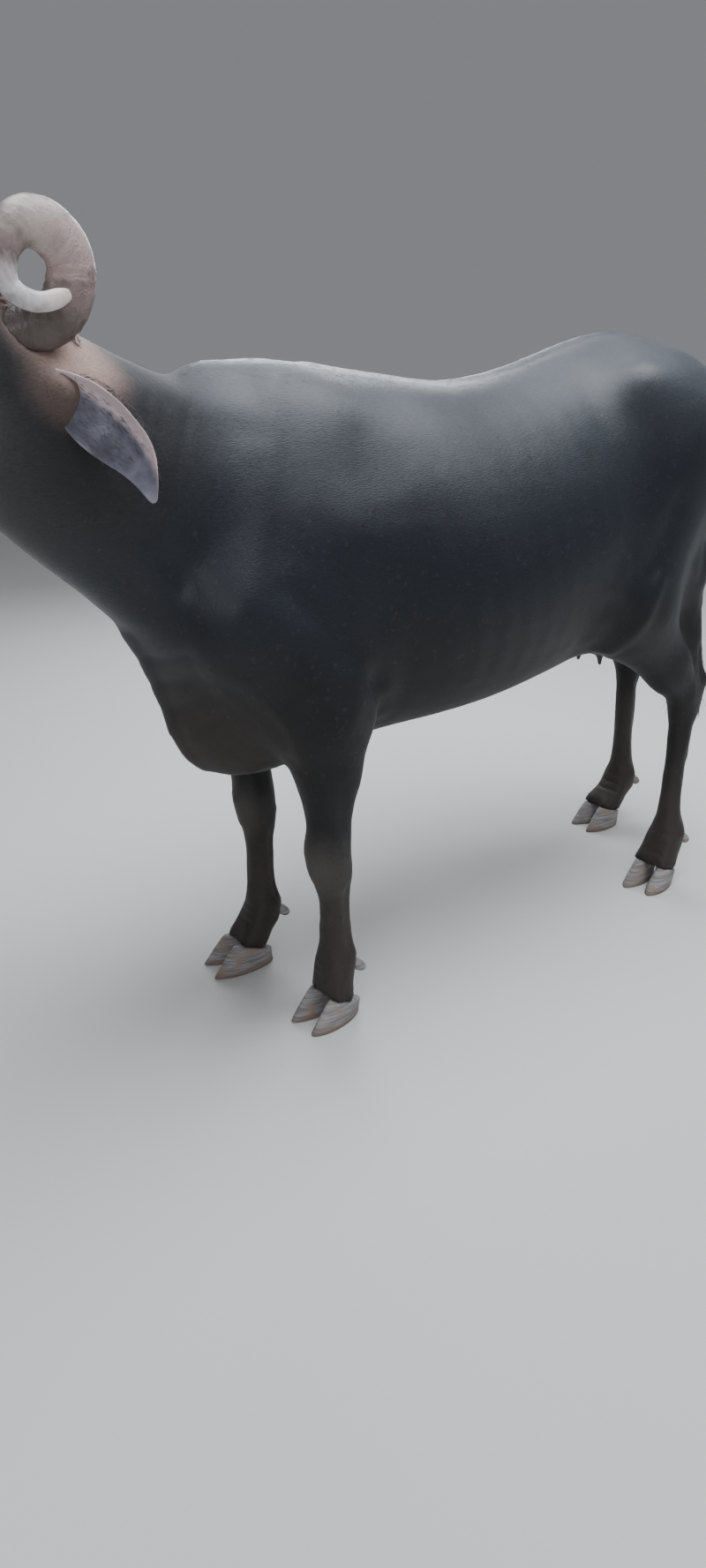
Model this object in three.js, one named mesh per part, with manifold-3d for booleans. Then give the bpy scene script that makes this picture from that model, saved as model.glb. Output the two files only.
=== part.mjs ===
// A life-size water buffalo cow of the curl-horned dairy type, standing with its head raised and turned a
// little to its left. Millimetres: +X forward, +Y to the animal's left, +Z up, origin on the ground at the
// middle of its box.
//
// The flesh is one smooth body: an implicit field of trunk sections, tapering masses and a head, negative
// inside. Each flesh node is that field, meshed on a lattice of its own cell size and parted from its
// neighbours by planes a thin gap apart. Horns, ears, eyes, hooves and tail are lofts of rings that sit in
// sockets of the same gap.
import * as THREE from "three";
import Module from "manifold-3d";

const wasm = await Module();
wasm.setup();

// Driving dimensions
const GAP = 0.3;
const WITHERS_HEIGHT = 1332;
const CROUP_HEIGHT = 1374;
const BACK_HEIGHT = 1287;
const BRISKET_HEIGHT = 556;
const BARREL_HALF_WIDTH = 312;
const KNEE_HEIGHT = 392;
const HOCK_HEIGHT = 515;
const FETLOCK_HEIGHT = 140;
const HEAD_LENGTH = 500;
const HEAD_PITCH = THREE.MathUtils.degToRad(22);
const HEAD_YAW = THREE.MathUtils.degToRad(15);
const EAR_LENGTH = 250;
const DIGIT_OFFSET = 27;
const TAIL_LENGTH = 900;

const SIDES = { left: 1, right: -1 };
const at = (x, y, z) => new THREE.Vector3(x, y, z);

// Materials
const finish = (color, roughness) => new THREE.MeshStandardMaterial({ color, roughness, metalness: 0 });
const HIDE = finish(0x23242a, 0.55);
const EAR_SKIN = finish(0x4a4448, 0.6);
const HORN = finish(0x6b655c, 0.5);
const HOOF = finish(0x77767a, 0.65);
const EYE = finish(0x0d0906, 0.1);
const TAIL_HAIR = finish(0x15130f, 0.8);

// Field tools: each returns about the distance to a surface, negative inside.

// Two fields joined with a fillet about k wide.
function blend(a, b, k) {
  const reach = Math.max(k - Math.abs(a - b), 0) / k;
  return Math.min(a, b) - (reach * reach * k) / 4;
}

// A limb from a to b with a radius at each end; flat squeezes it across Y.
function taper(p, a, b, ra, rb, flat = 1) {
  const bx = b.x - a.x;
  const by = b.y - a.y;
  const bz = b.z - a.z;
  const px = p.x - a.x;
  const py = p.y - a.y;
  const pz = p.z - a.z;
  const t = THREE.MathUtils.clamp((px * bx + py * by + pz * bz) / (bx * bx + by * by + bz * bz), 0, 1);
  const across = (py - t * by) / flat;
  return (Math.hypot(px - t * bx, across, pz - t * bz) - THREE.MathUtils.lerp(ra, rb, t)) * Math.min(flat, 1);
}

// A value along x from stations, by a Catmull-Rom curve through them.
function along(stations, key, x) {
  const last = stations.length - 1;
  let i = 0;
  while (i < last - 1 && x > stations[i + 1].x) i += 1;
  const a = stations[i];
  const b = stations[i + 1];
  const t = THREE.MathUtils.clamp((x - a.x) / (b.x - a.x), 0, 1);
  const before = stations[Math.max(i - 1, 0)];
  const after = stations[Math.min(i + 2, last)];
  const span = b.x - a.x;
  const slopeA = ((b[key] - before[key]) / (b.x - before.x)) * span;
  const slopeB = ((after[key] - a[key]) / (after.x - a.x)) * span;
  const t2 = t * t;
  const t3 = t2 * t;
  const fromA = (2 * t3 - 3 * t2 + 1) * a[key] + (t3 - 2 * t2 + t) * slopeA;
  const fromB = (3 * t2 - 2 * t3) * b[key] + (t3 - t2) * slopeB;
  return fromA + fromB;
}

// Trunk: the barrel's outline from the rump to the shoulder, with its top and low edges, half width and the
// level at which it is widest.
const TRUNK = [
  { x: -790, top: 1285, low: 930, half: 165, mid: 1120 },
  { x: -690, top: 1346, low: 800, half: 215, mid: 1130 },
  { x: -560, top: CROUP_HEIGHT, low: 700, half: 248, mid: 1120 },
  { x: -430, top: 1362, low: 650, half: 268, mid: 1060 },
  { x: -310, top: 1332, low: 628, half: 284, mid: 985 },
  { x: -170, top: 1300, low: 612, half: 302, mid: 930 },
  { x: -20, top: BACK_HEIGHT, low: 598, half: BARREL_HALF_WIDTH, mid: 900 },
  { x: 130, top: 1306, low: 594, half: 304, mid: 885 },
  { x: 280, top: 1326, low: 588, half: 262, mid: 890 },
  { x: 420, top: WITHERS_HEIGHT, low: 566, half: 215, mid: 860 },
  { x: 540, top: 1318, low: BRISKET_HEIGHT + 16, half: 168, mid: 830 },
];

function trunkField(p) {
  const x = THREE.MathUtils.clamp(p.x, TRUNK[0].x, TRUNK[TRUNK.length - 1].x);
  const half = along(TRUNK, "half", x);
  const mid = along(TRUNK, "mid", x);
  const rise = p.z - mid;
  const tall = rise > 0 ? along(TRUNK, "top", x) - mid : mid - along(TRUNK, "low", x);
  const power = rise > 0 ? 1.85 : 2.15;
  const size = (Math.abs(p.y / half) ** power + Math.abs(rise / tall) ** power) ** (1 / power);
  const reach = Math.hypot(p.y, rise);
  const inPlane = reach < 1 ? -Math.min(half, tall) : reach * (1 - 1 / size);
  const past = Math.abs(p.x - x);
  return past > 0 ? Math.hypot(Math.max(inPlane, 0), past) : inPlane;
}

// Fore and hind legs: the joints of each as the animal stands, y outward from the middle.
const LEGS = {
  fore_left: { side: 1, foot: { x: 456, y: 161 }, fetlock: 414, knee: 434, kneeOut: 190, toeOut: 6 },
  fore_right: { side: -1, foot: { x: 498, y: 156 }, fetlock: 414, knee: 406, kneeOut: 160, toeOut: 8 },
  hind_left: {
    side: 1,
    foot: { x: -562, y: 208 },
    fetlock: -632,
    hock: -668,
    hockOut: 202,
    stifle: -418,
    toeOut: 8,
  },
  hind_right: {
    side: -1,
    foot: { x: -752, y: 152 },
    fetlock: -862,
    hock: -884,
    hockOut: 160,
    stifle: -505,
    toeOut: 8,
  },
};

const chain = (p, masses, k) => masses.reduce((d, mass) => blend(d, taper(p, ...mass), k), Infinity);

// Fetlock, pastern and the two digits above the claws.
function lowerFoot(leg) {
  const { side, foot } = leg;
  const fetlock = at(leg.fetlock, side * foot.y, FETLOCK_HEIGHT);
  const digits = [-1, 1].map((d) => [
    at(leg.fetlock + 14, side * foot.y + d * 17, FETLOCK_HEIGHT - 26),
    at(foot.x - 22, side * foot.y + d * DIGIT_OFFSET, 46),
    31,
    33,
  ]);
  return [[fetlock, at(fetlock.x - 6, fetlock.y, FETLOCK_HEIGHT - 16), 40, 38, 1.08], ...digits];
}

function foreMasses(leg) {
  const { side } = leg;
  const elbow = at(434, side * 206, 700);
  const knee = at(leg.knee, side * leg.kneeOut, KNEE_HEIGHT);
  const fetlock = at(leg.fetlock, side * leg.foot.y, FETLOCK_HEIGHT);
  const forearm = elbow.clone().lerp(knee, 0.36);
  return [
    [elbow, forearm, 82, 64, 0.86],
    [forearm, knee.clone().add(at(0, 0, 56)), 64, 42, 0.92],
    [knee.clone().add(at(8, 0, 32)), knee.clone().add(at(5, 0, -30)), 47, 41, 0.98],
    [knee.clone().add(at(-4, 0, -20)), fetlock.clone().add(at(3, 0, 60)), 36, 30, 0.96],
    [fetlock.clone().add(at(3, 0, 70)), fetlock, 30, 36],
  ];
}

function hindMasses(leg) {
  const { side } = leg;
  const stifle = at(leg.stifle, side * 212, 778);
  const hock = at(leg.hock, side * leg.hockOut, HOCK_HEIGHT);
  const fetlock = at(leg.fetlock, side * leg.foot.y, FETLOCK_HEIGHT);
  const heel = hock.clone().add(at(-42, 0, 26));
  const ham = at((leg.hock + leg.stifle) / 2 - 96, side * 172, 800);
  const shank = hock.clone().lerp(stifle, 0.35);
  return [
    [stifle, shank, 108, 62, 0.72],
    [shank, hock.clone().add(at(8, 0, 8)), 62, 43, 0.8],
    [ham, heel, 66, 23, 0.7],
    [heel, hock.clone().add(at(-10, 0, -44)), 24, 28, 0.9],
    [hock.clone().add(at(8, 0, 12)), hock.clone().add(at(6, 0, -46)), 42, 33, 0.86],
    [hock.clone().add(at(4, 0, -40)), fetlock.clone().add(at(-2, 0, 62)), 32, 27, 0.94],
    [fetlock.clone().add(at(-2, 0, 70)), fetlock, 27, 34],
  ];
}

// The big masses that lie on the trunk: shoulder, upper arm and rump, the same on both sides.
function bodyMasses(side) {
  return [
    [at(345, side * 96, 1186), at(560, side * 160, 900), 84, 88, 0.8],
    [at(560, side * 156, 890), at(440, side * 186, 730), 96, 90, 0.85],
    [at(335, side * 156, 1000), at(434, side * 186, 740), 116, 70, 0.8],
    [at(-428, side * 206, 1262), at(-500, side * 186, 1236), 46, 60, 1],
    [at(-560, side * 130, 1170), at(-640, side * 120, 1130), 146, 146, 0.95],
    [at(-786, side * 98, 1128), at(-790, side * 92, 1150), 62, 64, 0.9],
  ];
}

function thighMasses(leg) {
  const { side } = leg;
  const shift = (leg.hock - LEGS.hind_left.hock) * 0.5;
  return [
    [at(-560, side * 142, 1100), at(leg.stifle - 14, side * 196, 810), 190, 120, 0.78],
    [at(-730, side * 118, 1080), at(-650 + shift, side * 160, 850), 112, 84, 0.8],
  ];
}

const FORE = [LEGS.fore_left, LEGS.fore_right].map((leg) => [...foreMasses(leg), ...lowerFoot(leg)]);
const HIND = [LEGS.hind_left, LEGS.hind_right].map((leg) => [...hindMasses(leg), ...lowerFoot(leg)]);
const LIMBS = [...FORE, ...HIND];
const THIGHS = [LEGS.hind_left, LEGS.hind_right].flatMap(thighMasses);
const BODY = [...bodyMasses(1), ...bodyMasses(-1), ...THIGHS];

// Neck: upper and lower columns from the shoulders to the head, bent to the left.
const HEAD_AT = at(922, 120, 1345);
const NECK = [
  [at(470, 0, 1140), at(780, 70, 1202), 140, 100, 0.72],
  [at(770, 68, 1212), at(892, 108, 1318), 98, 82, 0.85],
  [at(545, 0, 930), at(880, 104, 1212), 166, 110, 0.78],
  [at(520, 0, 1050), at(860, 98, 1246), 180, 110, 0.7],
];
const BRISKET = [at(560, 0, 860), at(545, 0, 690), 112, 116, 0.95];
const UDDER = [at(-580, 0, 712), at(-500, 0, 682), 92, 74, 1.15];

// Head: in its own frame, with the origin between the ears, +X to the muzzle and +Z out of the forehead.
const head = new THREE.Group();
head.position.copy(HEAD_AT);
head.rotation.set(0, -HEAD_PITCH, HEAD_YAW, "ZYX");
head.updateMatrixWorld(true);
const toHead = head.matrixWorld.clone().invert();
const headPoint = (x, y, z) => at(x, y, z).applyMatrix4(head.matrixWorld);

const MUZZLE = at(HEAD_LENGTH - 96, 0, -52);
const SKULL = [
  [at(20, 0, -5), at(120, 0, 6), 84, 86, 1.16],
  [at(120, 0, -5), at(MUZZLE.x - 32, 0, -42), 88, 60, 1.02],
  [at(150, 0, 38), at(MUZZLE.x - 19, 0, -6), 44, 44, 1.2],
  [at(MUZZLE.x - 8, 0, -52), at(MUZZLE.x + 18, 0, -58), 62, 58, 1.22],
];
const PAIRED_SKULL = [
  [at(128, 66, 22), at(176, 70, 12), 38, 32, 1],
  [at(60, 48, -120), at(130, 56, -95), 62, 58, 0.62],
  [at(75, 42, -150), at(360, 26, -112), 42, 32, 1],
  [at(MUZZLE.x - 4, 34, -42), at(MUZZLE.x + 34, 34, -44), 40, 36, 1],
];
const CHIN = [at(372, 0, -112), at(400, 0, -112), 36, 33, 1.6];

function headField(world) {
  const p = world.clone().applyMatrix4(toHead);
  let d = Infinity;
  for (const mass of SKULL) d = blend(d, taper(p, ...mass), 45);
  p.y = Math.abs(p.y);
  for (const mass of PAIRED_SKULL) d = blend(d, taper(p, ...mass), 40);
  return blend(d, taper(p, ...CHIN), 22);
}

function fleshField(p) {
  let d = trunkField(p);
  for (const mass of BODY) d = blend(d, taper(p, ...mass), 70);
  for (const limb of LIMBS) d = blend(d, chain(p, limb, 22), 62);
  const neck = chain(p, NECK, 90);
  d = blend(blend(d, neck, 120), taper(p, ...BRISKET), 90);
  d = blend(d, taper(p, ...UDDER), 70);
  return blend(d, headField(p), 70);
}

const CORNERS = [0, 1, 2, 3, 4, 5, 6, 7].map((c) => [c & 1, (c >> 1) & 1, c >> 2]);
const FILL = 0.5;

// Meshing: a surface net of the field over a lattice, which a frame may place in the world. Each lattice cell
// that the surface crosses gets one vertex, drawn onto the surface, and each lattice edge that it crosses
// joins the four cells around it.
function surfaceNet(worldField, low, high, cell, frame = new THREE.Matrix4()) {
  const field = (p) => worldField(p.clone().applyMatrix4(frame));
  const size = high.clone().sub(low).divide(cell).ceil().addScalar(1);
  const [nx, ny, nz] = size.toArray();
  const index = (i, j, k) => (k * ny + j) * nx + i;
  const place = (i, j, k) => at(low.x + i * cell.x, low.y + j * cell.y, low.z + k * cell.z);
  const values = new Float32Array(nx * ny * nz);
  for (let k = 0; k < nz; k += 1)
    for (let j = 0; j < ny; j += 1)
      for (let i = 0; i < nx; i += 1) {
        const edge = Math.min(i, j, k, nx - 1 - i, ny - 1 - j, nz - 1 - k) === 0;
        const d = field(place(i, j, k));
        values[index(i, j, k)] = edge ? Math.max(d, FILL) : d;
      }
  fillPinches(values, size.toArray());

  const edges = [];
  for (let a = 0; a < 8; a += 1) for (const bit of [1, 2, 4]) if (!(a & bit)) edges.push([a, a | bit]);
  const positions = [];
  const vertexOf = new Map();
  for (let k = 0; k < nz - 1; k += 1)
    for (let j = 0; j < ny - 1; j += 1)
      for (let i = 0; i < nx - 1; i += 1) {
        const v = CORNERS.map(([a, b, c]) => values[index(i + a, j + b, k + c)]);
        const sum = at(0, 0, 0);
        let count = 0;
        for (const [a, b] of edges) {
          if (v[a] < 0 === v[b] < 0) continue;
          sum.add(at(...CORNERS[a]).lerp(at(...CORNERS[b]), v[a] / (v[a] - v[b])));
          count += 1;
        }
        if (!count) continue;
        const p = sum.divideScalar(count).multiply(cell).add(place(i, j, k));
        onto(field, p, place(i, j, k), cell);
        vertexOf.set(index(i, j, k), positions.length / 3);
        positions.push(...p.toArray());
      }

  const faces = [];
  const spot = (v) => at(positions[3 * v], positions[3 * v + 1], positions[3 * v + 2]);
  const steps = [at(1, 0, 0), at(0, 1, 0), at(0, 0, 1)].map((step) => step.toArray());
  for (let k = 0; k < nz - 1; k += 1)
    for (let j = 0; j < ny - 1; j += 1)
      for (let i = 0; i < nx - 1; i += 1)
        for (let axis = 0; axis < 3; axis += 1) {
          const [dx, dy, dz] = steps[axis];
          const here = values[index(i, j, k)] < 0;
          if (here === values[index(i + dx, j + dy, k + dz)] < 0) continue;
          const u = steps[(axis + 1) % 3];
          const w = steps[(axis + 2) % 3];
          const cellAt = (a, b) =>
            vertexOf.get(index(i - a * u[0] - b * w[0], j - a * u[1] - b * w[1], k - a * u[2] - b * w[2]));
          const quad = [cellAt(1, 1), cellAt(0, 1), cellAt(0, 0), cellAt(1, 0)];
          if (!here) quad.reverse();
          const miss = (a, b) => Math.abs(field(spot(quad[a]).lerp(spot(quad[b]), 0.5)));
          const [a, b, c, d] = miss(0, 2) < miss(1, 3) ? quad : [...quad.slice(1), quad[0]];
          faces.push(a, b, c, a, c, d);
        }
  return solidOf(
    Array.from({ length: positions.length / 3 }, (_, v) => spot(v).applyMatrix4(frame)),
    faces,
  );
}

// Fills lattice points where the surface would touch itself along an edge or at a corner.
function fillPinches(values, [nx, ny, nz]) {
  const ring = (a, b) => [0, a, a | b, b];
  const sides = [ring(1, 2), ring(1, 4), ring(2, 4)];
  const faces = sides.flatMap((r) => [r, r.map((c) => c | (7 - Math.max(...r)))]);
  let filled = true;
  while (filled) {
    filled = false;
    for (let k = 0; k < nz - 1; k += 1)
      for (let j = 0; j < ny - 1; j += 1)
        for (let i = 0; i < nx - 1; i += 1) {
          const spots = CORNERS.map(([a, b, c]) => ((k + c) * ny + j + b) * nx + i + a);
          const inside = spots.map((spot) => values[spot] < 0);
          const count = inside.filter(Boolean).length;
          if (count < 2 || count > 6) continue;
          const crossed = faces.find(
            ([a, b, c, d]) => inside[a] === inside[c] && inside[b] === inside[d] && inside[a] !== inside[b],
          );
          const apart = [0, 1, 2, 3].find((c) => inside[c] === inside[7 - c] && inside[c] === (count === 2));
          const opposite = (count === 2 || count === 6) && apart !== undefined;
          if (!crossed && !opposite) continue;
          for (const c of crossed ?? CORNERS.keys()) values[spots[c]] = Math.min(values[spots[c]], -FILL);
          filled = true;
        }
  }
}

// Moves p onto the field's surface without leaving its lattice cell.
function onto(field, p, corner, cell) {
  const step = 0.5;
  const far = corner.clone().add(cell);
  for (let turn = 0; turn < 3; turn += 1) {
    const d = field(p);
    const slope = at(
      field(at(p.x + step, p.y, p.z)) - d,
      field(at(p.x, p.y + step, p.z)) - d,
      field(at(p.x, p.y, p.z + step)) - d,
    ).divideScalar(step);
    p.addScaledVector(slope, -d / Math.max(slope.lengthSq(), 0.05)).clamp(corner, far);
  }
}

// A solid from points and triangles, turned outward.
function solidOf(points, faces) {
  const vertProperties = new Float32Array(points.flatMap((p) => p.toArray()));
  const triVerts = new Uint32Array(faces);
  const made = new wasm.Manifold(new wasm.Mesh({ numProp: 3, vertProperties, triVerts }));
  return made.volume() < 0 ? solidOf(points, faces.slice().reverse()) : made;
}

// The largest closed body of a solid.
function largest(solid) {
  return solid.decompose().reduce((best, part) => (part.volume() > best.volume() ? part : best));
}

function geometryOf(solid) {
  const mesh = largest(solid).getMesh();
  const geometry = new THREE.BufferGeometry();
  geometry.setAttribute("position", new THREE.BufferAttribute(new Float32Array(mesh.vertProperties), 3));
  geometry.setIndex(new THREE.BufferAttribute(new Uint32Array(mesh.triVerts), 1));
  geometry.computeVertexNormals();
  return geometry;
}

// A closed solid through rings of equally many points, capped at both ends.
function loft(rings) {
  const sides = rings[0].length;
  const points = rings.flat();
  const faces = [];
  for (let r = 0; r < rings.length - 1; r += 1)
    for (let s = 0; s < sides; s += 1) {
      const a = r * sides + s;
      const b = r * sides + ((s + 1) % sides);
      faces.push(a, b, b + sides, a, b + sides, a + sides);
    }
  for (const [ring, turned] of [
    [0, true],
    [rings.length - 1, false],
  ]) {
    const hub = points.length;
    points.push(rings[ring].reduce((sum, p) => sum.add(p), at(0, 0, 0)).divideScalar(sides));
    for (let s = 0; s < sides; s += 1) {
      const a = ring * sides + s;
      const b = ring * sides + ((s + 1) % sides);
      faces.push(...(turned ? [b, a, hub] : [a, b, hub]));
    }
  }
  return solidOf(points, faces);
}

// A ring of points about c: angle by angle, out along u and v by reach(angle) = [along u, along v].
function ringOf(c, u, v, sides, reach) {
  return Array.from({ length: sides }, (_, s) => {
    const angle = (s / sides) * 2 * Math.PI;
    const [a, b] = reach(angle);
    return c.clone().addScaledVector(u, a).addScaledVector(v, b);
  });
}

const oval = (ru, rv) => (angle) => [ru * Math.cos(angle), rv * Math.sin(angle)];

// Numbers between 0 and 1 that are the same on every run.
function seeded(seed) {
  let state = seed;
  return () => {
    state = (state * 1664525 + 1013904223) % 4294967296;
    return state / 4294967296;
  };
}

// Cuts between nodes: a plane through a point, and the side of it that a node keeps, set back by half the
// gap.
const cut = (through, normal) => ({ through, normal: normal.normalize() });
const depth = (plane, side, p) => -side * plane.normal.dot(p.clone().sub(plane.through));
const trim = (solid, plane, side) =>
  solid.trimByPlane(
    plane.normal.clone().multiplyScalar(side).toArray(),
    side * plane.normal.dot(plane.through) + GAP / 2,
  );

const NECK_ROOT = cut(at(600, 0, 1100), at(0.9, 0.08, 0.42));
const NECK_TOP = cut(at(872, 104, 1290), at(0.86, 0.24, 0.36));

// The block of space that holds a leg below its cut, which rises outward and to the rear.
const LEG_BLOCKS = {
  fore_left: { side: 1, rear: 292, front: 700, inner: 98, rearRise: [572, 756], frontRise: [606, 776] },
  fore_right: { side: -1, rear: 292, front: 700, inner: 80, rearRise: [572, 756], frontRise: [606, 776] },
  hind_left: { side: 1, rear: -1000, front: -300, inner: 96, rearRise: [760, 860], frontRise: [640, 716] },
  hind_right: { side: -1, rear: -1100, front: -330, inner: 84, rearRise: [772, 872], frontRise: [640, 720] },
};

function legBlock(name, grow) {
  const { side, rear, front, inner, rearRise, frontRise } = LEG_BLOCKS[name];
  const outer = 460;
  const lift = 1.15 * grow;
  const ring = (x, [low, high]) => [
    at(x, side * (inner - grow), -40),
    at(x, side * outer, -40),
    at(x, side * outer, high + lift),
    at(x, side * (inner - grow), low + lift),
  ];
  return loft([ring(rear - grow, rearRise), ring(front + grow, frontRise)]);
}

// Claws: two to a foot, each a loft from the flat sole up to the coronet, whose plane falls to the heel.
const CLAW_LENGTH = { fore_left: 146, fore_right: 164, hind_left: 128, hind_right: 128 };
const CLAW_HALF_WIDTH = 28;
const CLAW_SPREAD = 5;
const CLEFT = 5;
const CORONET = [0, 0.22, 0.5, 0.78, 1];

function coronetPlane(leg) {
  return cut(at(leg.foot.x - 16, 0, 58), at(-0.34, 0, 1));
}

function claw(name, inOut) {
  const leg = LEGS[name];
  const length = CLAW_LENGTH[name];
  const turn = leg.side * THREE.MathUtils.degToRad(leg.toeOut + inOut * CLAW_SPREAD);
  const ahead = at(Math.cos(turn), Math.sin(turn), 0);
  const across = at(-Math.sin(turn), Math.cos(turn), 0).multiplyScalar(inOut * leg.side);
  const middle = leg.side * leg.foot.y;
  const plane = coronetPlane(leg);
  const rings = CORONET.map((h) => {
    const narrow = THREE.MathUtils.lerp(1, 0.8, h);
    const reach = THREE.MathUtils.lerp(length / 2, length * 0.3, h ** 0.8);
    const back = THREE.MathUtils.lerp(0, 30, h);
    const centre = at(leg.foot.x - back, middle, 0);
    centre.addScaledVector(across, CLEFT / 2 + CLAW_HALF_WIDTH * 0.98);
    const ring = ringOf(centre, ahead, across, 14, (angle) => {
      const front = Math.max(Math.cos(angle), 0);
      const side = Math.sin(angle);
      const inner = side < 0 ? 0.9 : 1;
      return [reach * Math.cos(angle), CLAW_HALF_WIDTH * narrow * inner * side * (1 - 0.22 * front ** 3)];
    });
    return ring.map((p) => {
      const top = plane.through.z + 0.34 * (p.x - plane.through.x);
      return at(p.x, p.y, h * (top - GAP));
    });
  });
  return loft(rings);
}

// Dewclaws: a pair of blunt horn buttons behind each fetlock.
function dewclaw(name, inOut, grow) {
  const leg = LEGS[name];
  const root = at(leg.fetlock - 26, leg.side * leg.foot.y + inOut * leg.side * 23, FETLOCK_HEIGHT - 14);
  const axis = at(-0.72, inOut * leg.side * 0.22, -0.66).normalize();
  const u = at(0, 1, 0).cross(axis).normalize();
  const v = axis.clone().cross(u);
  const stations = [
    [-4 - grow, 13],
    [10, 14],
    [24, 12],
    [33, 7],
  ];
  const rings = stations.map(([t, r]) => {
    const centre = root.clone().addScaledVector(axis, t);
    return ringOf(centre, u, v, 8, oval(r + grow, r + grow));
  });
  return loft(rings);
}

// Horns: a tight, broad, flat coil on each side of the poll, running back, up, forward and in again, so that
// its pale end crosses the middle and stands outermost.
const COIL_AT = at(38, 0, 104);
const HORN_RIDGES = 12;
const HORN_STATIONS = 27;
const HORN_THICK = 23;
const HORN_BROAD = 42;
const HORN_END = 0.32;
const HORN_ROOT = 0.76;
const HORN_GAP = 2 * GAP;
const HORN_TURNS = [
  [20, 50, -50],
  [-8, 86, -66],
  [-44, 110, -48],
  [-58, 122, -4],
  [-42, 130, 42],
  [4, 136, 58],
  [46, 140, 42],
  [65, 145, -2],
  [52, 153, -45],
  [14, 162, -50],
  [-30, 168, -20],
];

function horn(side, grow) {
  const spine = new THREE.CatmullRomCurve3(
    HORN_TURNS.map(([ahead, out, up]) => headPoint(COIL_AT.x + ahead, side * out, COIL_AT.z + up)),
  );
  const outward = at(0, side, 0).transformDirection(head.matrixWorld);
  const rings = Array.from({ length: HORN_STATIONS }, (_, i) => {
    const t = i / (HORN_STATIONS - 1);
    const ahead = spine.getTangentAt(t);
    const u = outward.clone().addScaledVector(ahead, -outward.dot(ahead)).normalize();
    const v = ahead.clone().cross(u);
    const ridge = 1 + 0.04 * Math.cos(2 * Math.PI * HORN_RIDGES * t) * Math.max(1 - 1.4 * t, 0);
    const narrow = THREE.MathUtils.lerp(1, HORN_END, THREE.MathUtils.smoothstep(t, 0.4, 0.95));
    const root = THREE.MathUtils.lerp(HORN_ROOT, 1, THREE.MathUtils.smoothstep(t, 0, 0.35));
    const size = root * narrow * ridge * (i === HORN_STATIONS - 1 ? 0.6 : 1);
    const centre = spine.getPointAt(t).addScaledVector(ahead, i === 0 ? -grow : 0);
    return ringOf(centre, u, v, 10, oval(HORN_THICK * size + grow, HORN_BROAD * size + grow));
  });
  return loft(rings);
}

// Ears: a stem that opens into a long cupped leaf, swept back, out and down, its tip curled up.
const EAR_STATIONS = [
  { t: -0.06, half: 21, cup: 0, thick: 24 },
  { t: 0.06, half: 25, cup: 0.25, thick: 22 },
  { t: 0.16, half: 35, cup: 0.7, thick: 13 },
  { t: 0.3, half: 47, cup: 1, thick: 9 },
  { t: 0.46, half: 52, cup: 1, thick: 8 },
  { t: 0.62, half: 47, cup: 1, thick: 7.5 },
  { t: 0.78, half: 34, cup: 1, thick: 7 },
  { t: 0.9, half: 20, cup: 0.9, thick: 6.5 },
  { t: 1, half: 6, cup: 0.7, thick: 6 },
];

function ear(side, grow) {
  const spine = new THREE.QuadraticBezierCurve3(
    headPoint(-14, side * 81, -20),
    headPoint(-94, side * 172, -42),
    headPoint(-176, side * 193, -134),
  );
  const steps = 6;
  const facing = at(0.55, side * 0.62, -0.4).transformDirection(head.matrixWorld);
  const rings = EAR_STATIONS.map(({ t, half, cup, thick }) => {
    const ahead = spine.getTangent(THREE.MathUtils.clamp(t, 0, 1));
    const sunk = t < 0 ? t * EAR_LENGTH - grow : 0;
    const centre = spine.getPoint(THREE.MathUtils.clamp(t, 0, 1)).addScaledVector(ahead, sunk);
    const open = facing.clone().addScaledVector(ahead, -facing.dot(ahead)).normalize();
    const wide = ahead.clone().cross(open).multiplyScalar(side);
    const bow = 0.62;
    const back = (f) => -half * bow * (1 - f * f);
    const outer = [];
    const inner = [];
    for (let i = 0; i <= steps; i += 1) {
      const f = -1 + (2 * i) / steps;
      const shell = back(f) + thick * Math.sqrt(Math.max(1 - 0.8 * f * f, 0));
      const solid = -back(f) * 0.8 + thick * 0.2;
      const rim = THREE.MathUtils.lerp(solid, shell, cup);
      outer.push([f * (half + grow), back(f) - grow]);
      inner.push([f * (half + grow) * 0.96, rim + grow]);
    }
    return [...outer, ...inner.reverse()].map(([w, o]) =>
      centre.clone().addScaledVector(wide, w).addScaledVector(open, o),
    );
  });
  return loft(rings);
}

// Eyes: balls in sockets, each under two lids that leave an almond opening.
const EYE_AT = at(164, 88, 14);
const EYE_RADIUS = 22;
const EYE_SINK = 0.62;
const LID = 5;

function ball(centre, radius, width = 14, height = 10) {
  const geometry = new THREE.SphereGeometry(radius, width, height);
  const rings = [];
  const position = geometry.getAttribute("position");
  for (let row = 1; row < height; row += 1)
    rings.push(
      Array.from({ length: width }, (_, i) =>
        at(0, 0, 0)
          .fromBufferAttribute(position, row * (width + 1) + i)
          .add(centre),
      ),
    );
  return loft(rings);
}

const eyeOut = (side) => at(0.3, side * 0.92, 0.18).transformDirection(head.matrixWorld);
function eyeCentre(side) {
  const surface = headPoint(EYE_AT.x, side * EYE_AT.y, EYE_AT.z);
  return surface.addScaledVector(eyeOut(side), -EYE_RADIUS * EYE_SINK);
}

function eyeOpening(side) {
  const out = eyeOut(side);
  const level = at(1, 0, -0.12).transformDirection(head.matrixWorld);
  const along = level.addScaledVector(out, -level.dot(out)).normalize();
  const up = out.clone().cross(along).multiplyScalar(-side);
  const almond = (reach) => (angle) => [
    reach * 21 * Math.cos(angle),
    reach * 11 * Math.sin(angle) * (0.45 + 0.55 * Math.abs(Math.sin(angle))),
  ];
  return loft([
    ringOf(eyeCentre(side), along, up, 16, almond(0.6)),
    ringOf(eyeCentre(side).addScaledVector(out, 60), along, up, 16, almond(1.5)),
  ]);
}

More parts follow.
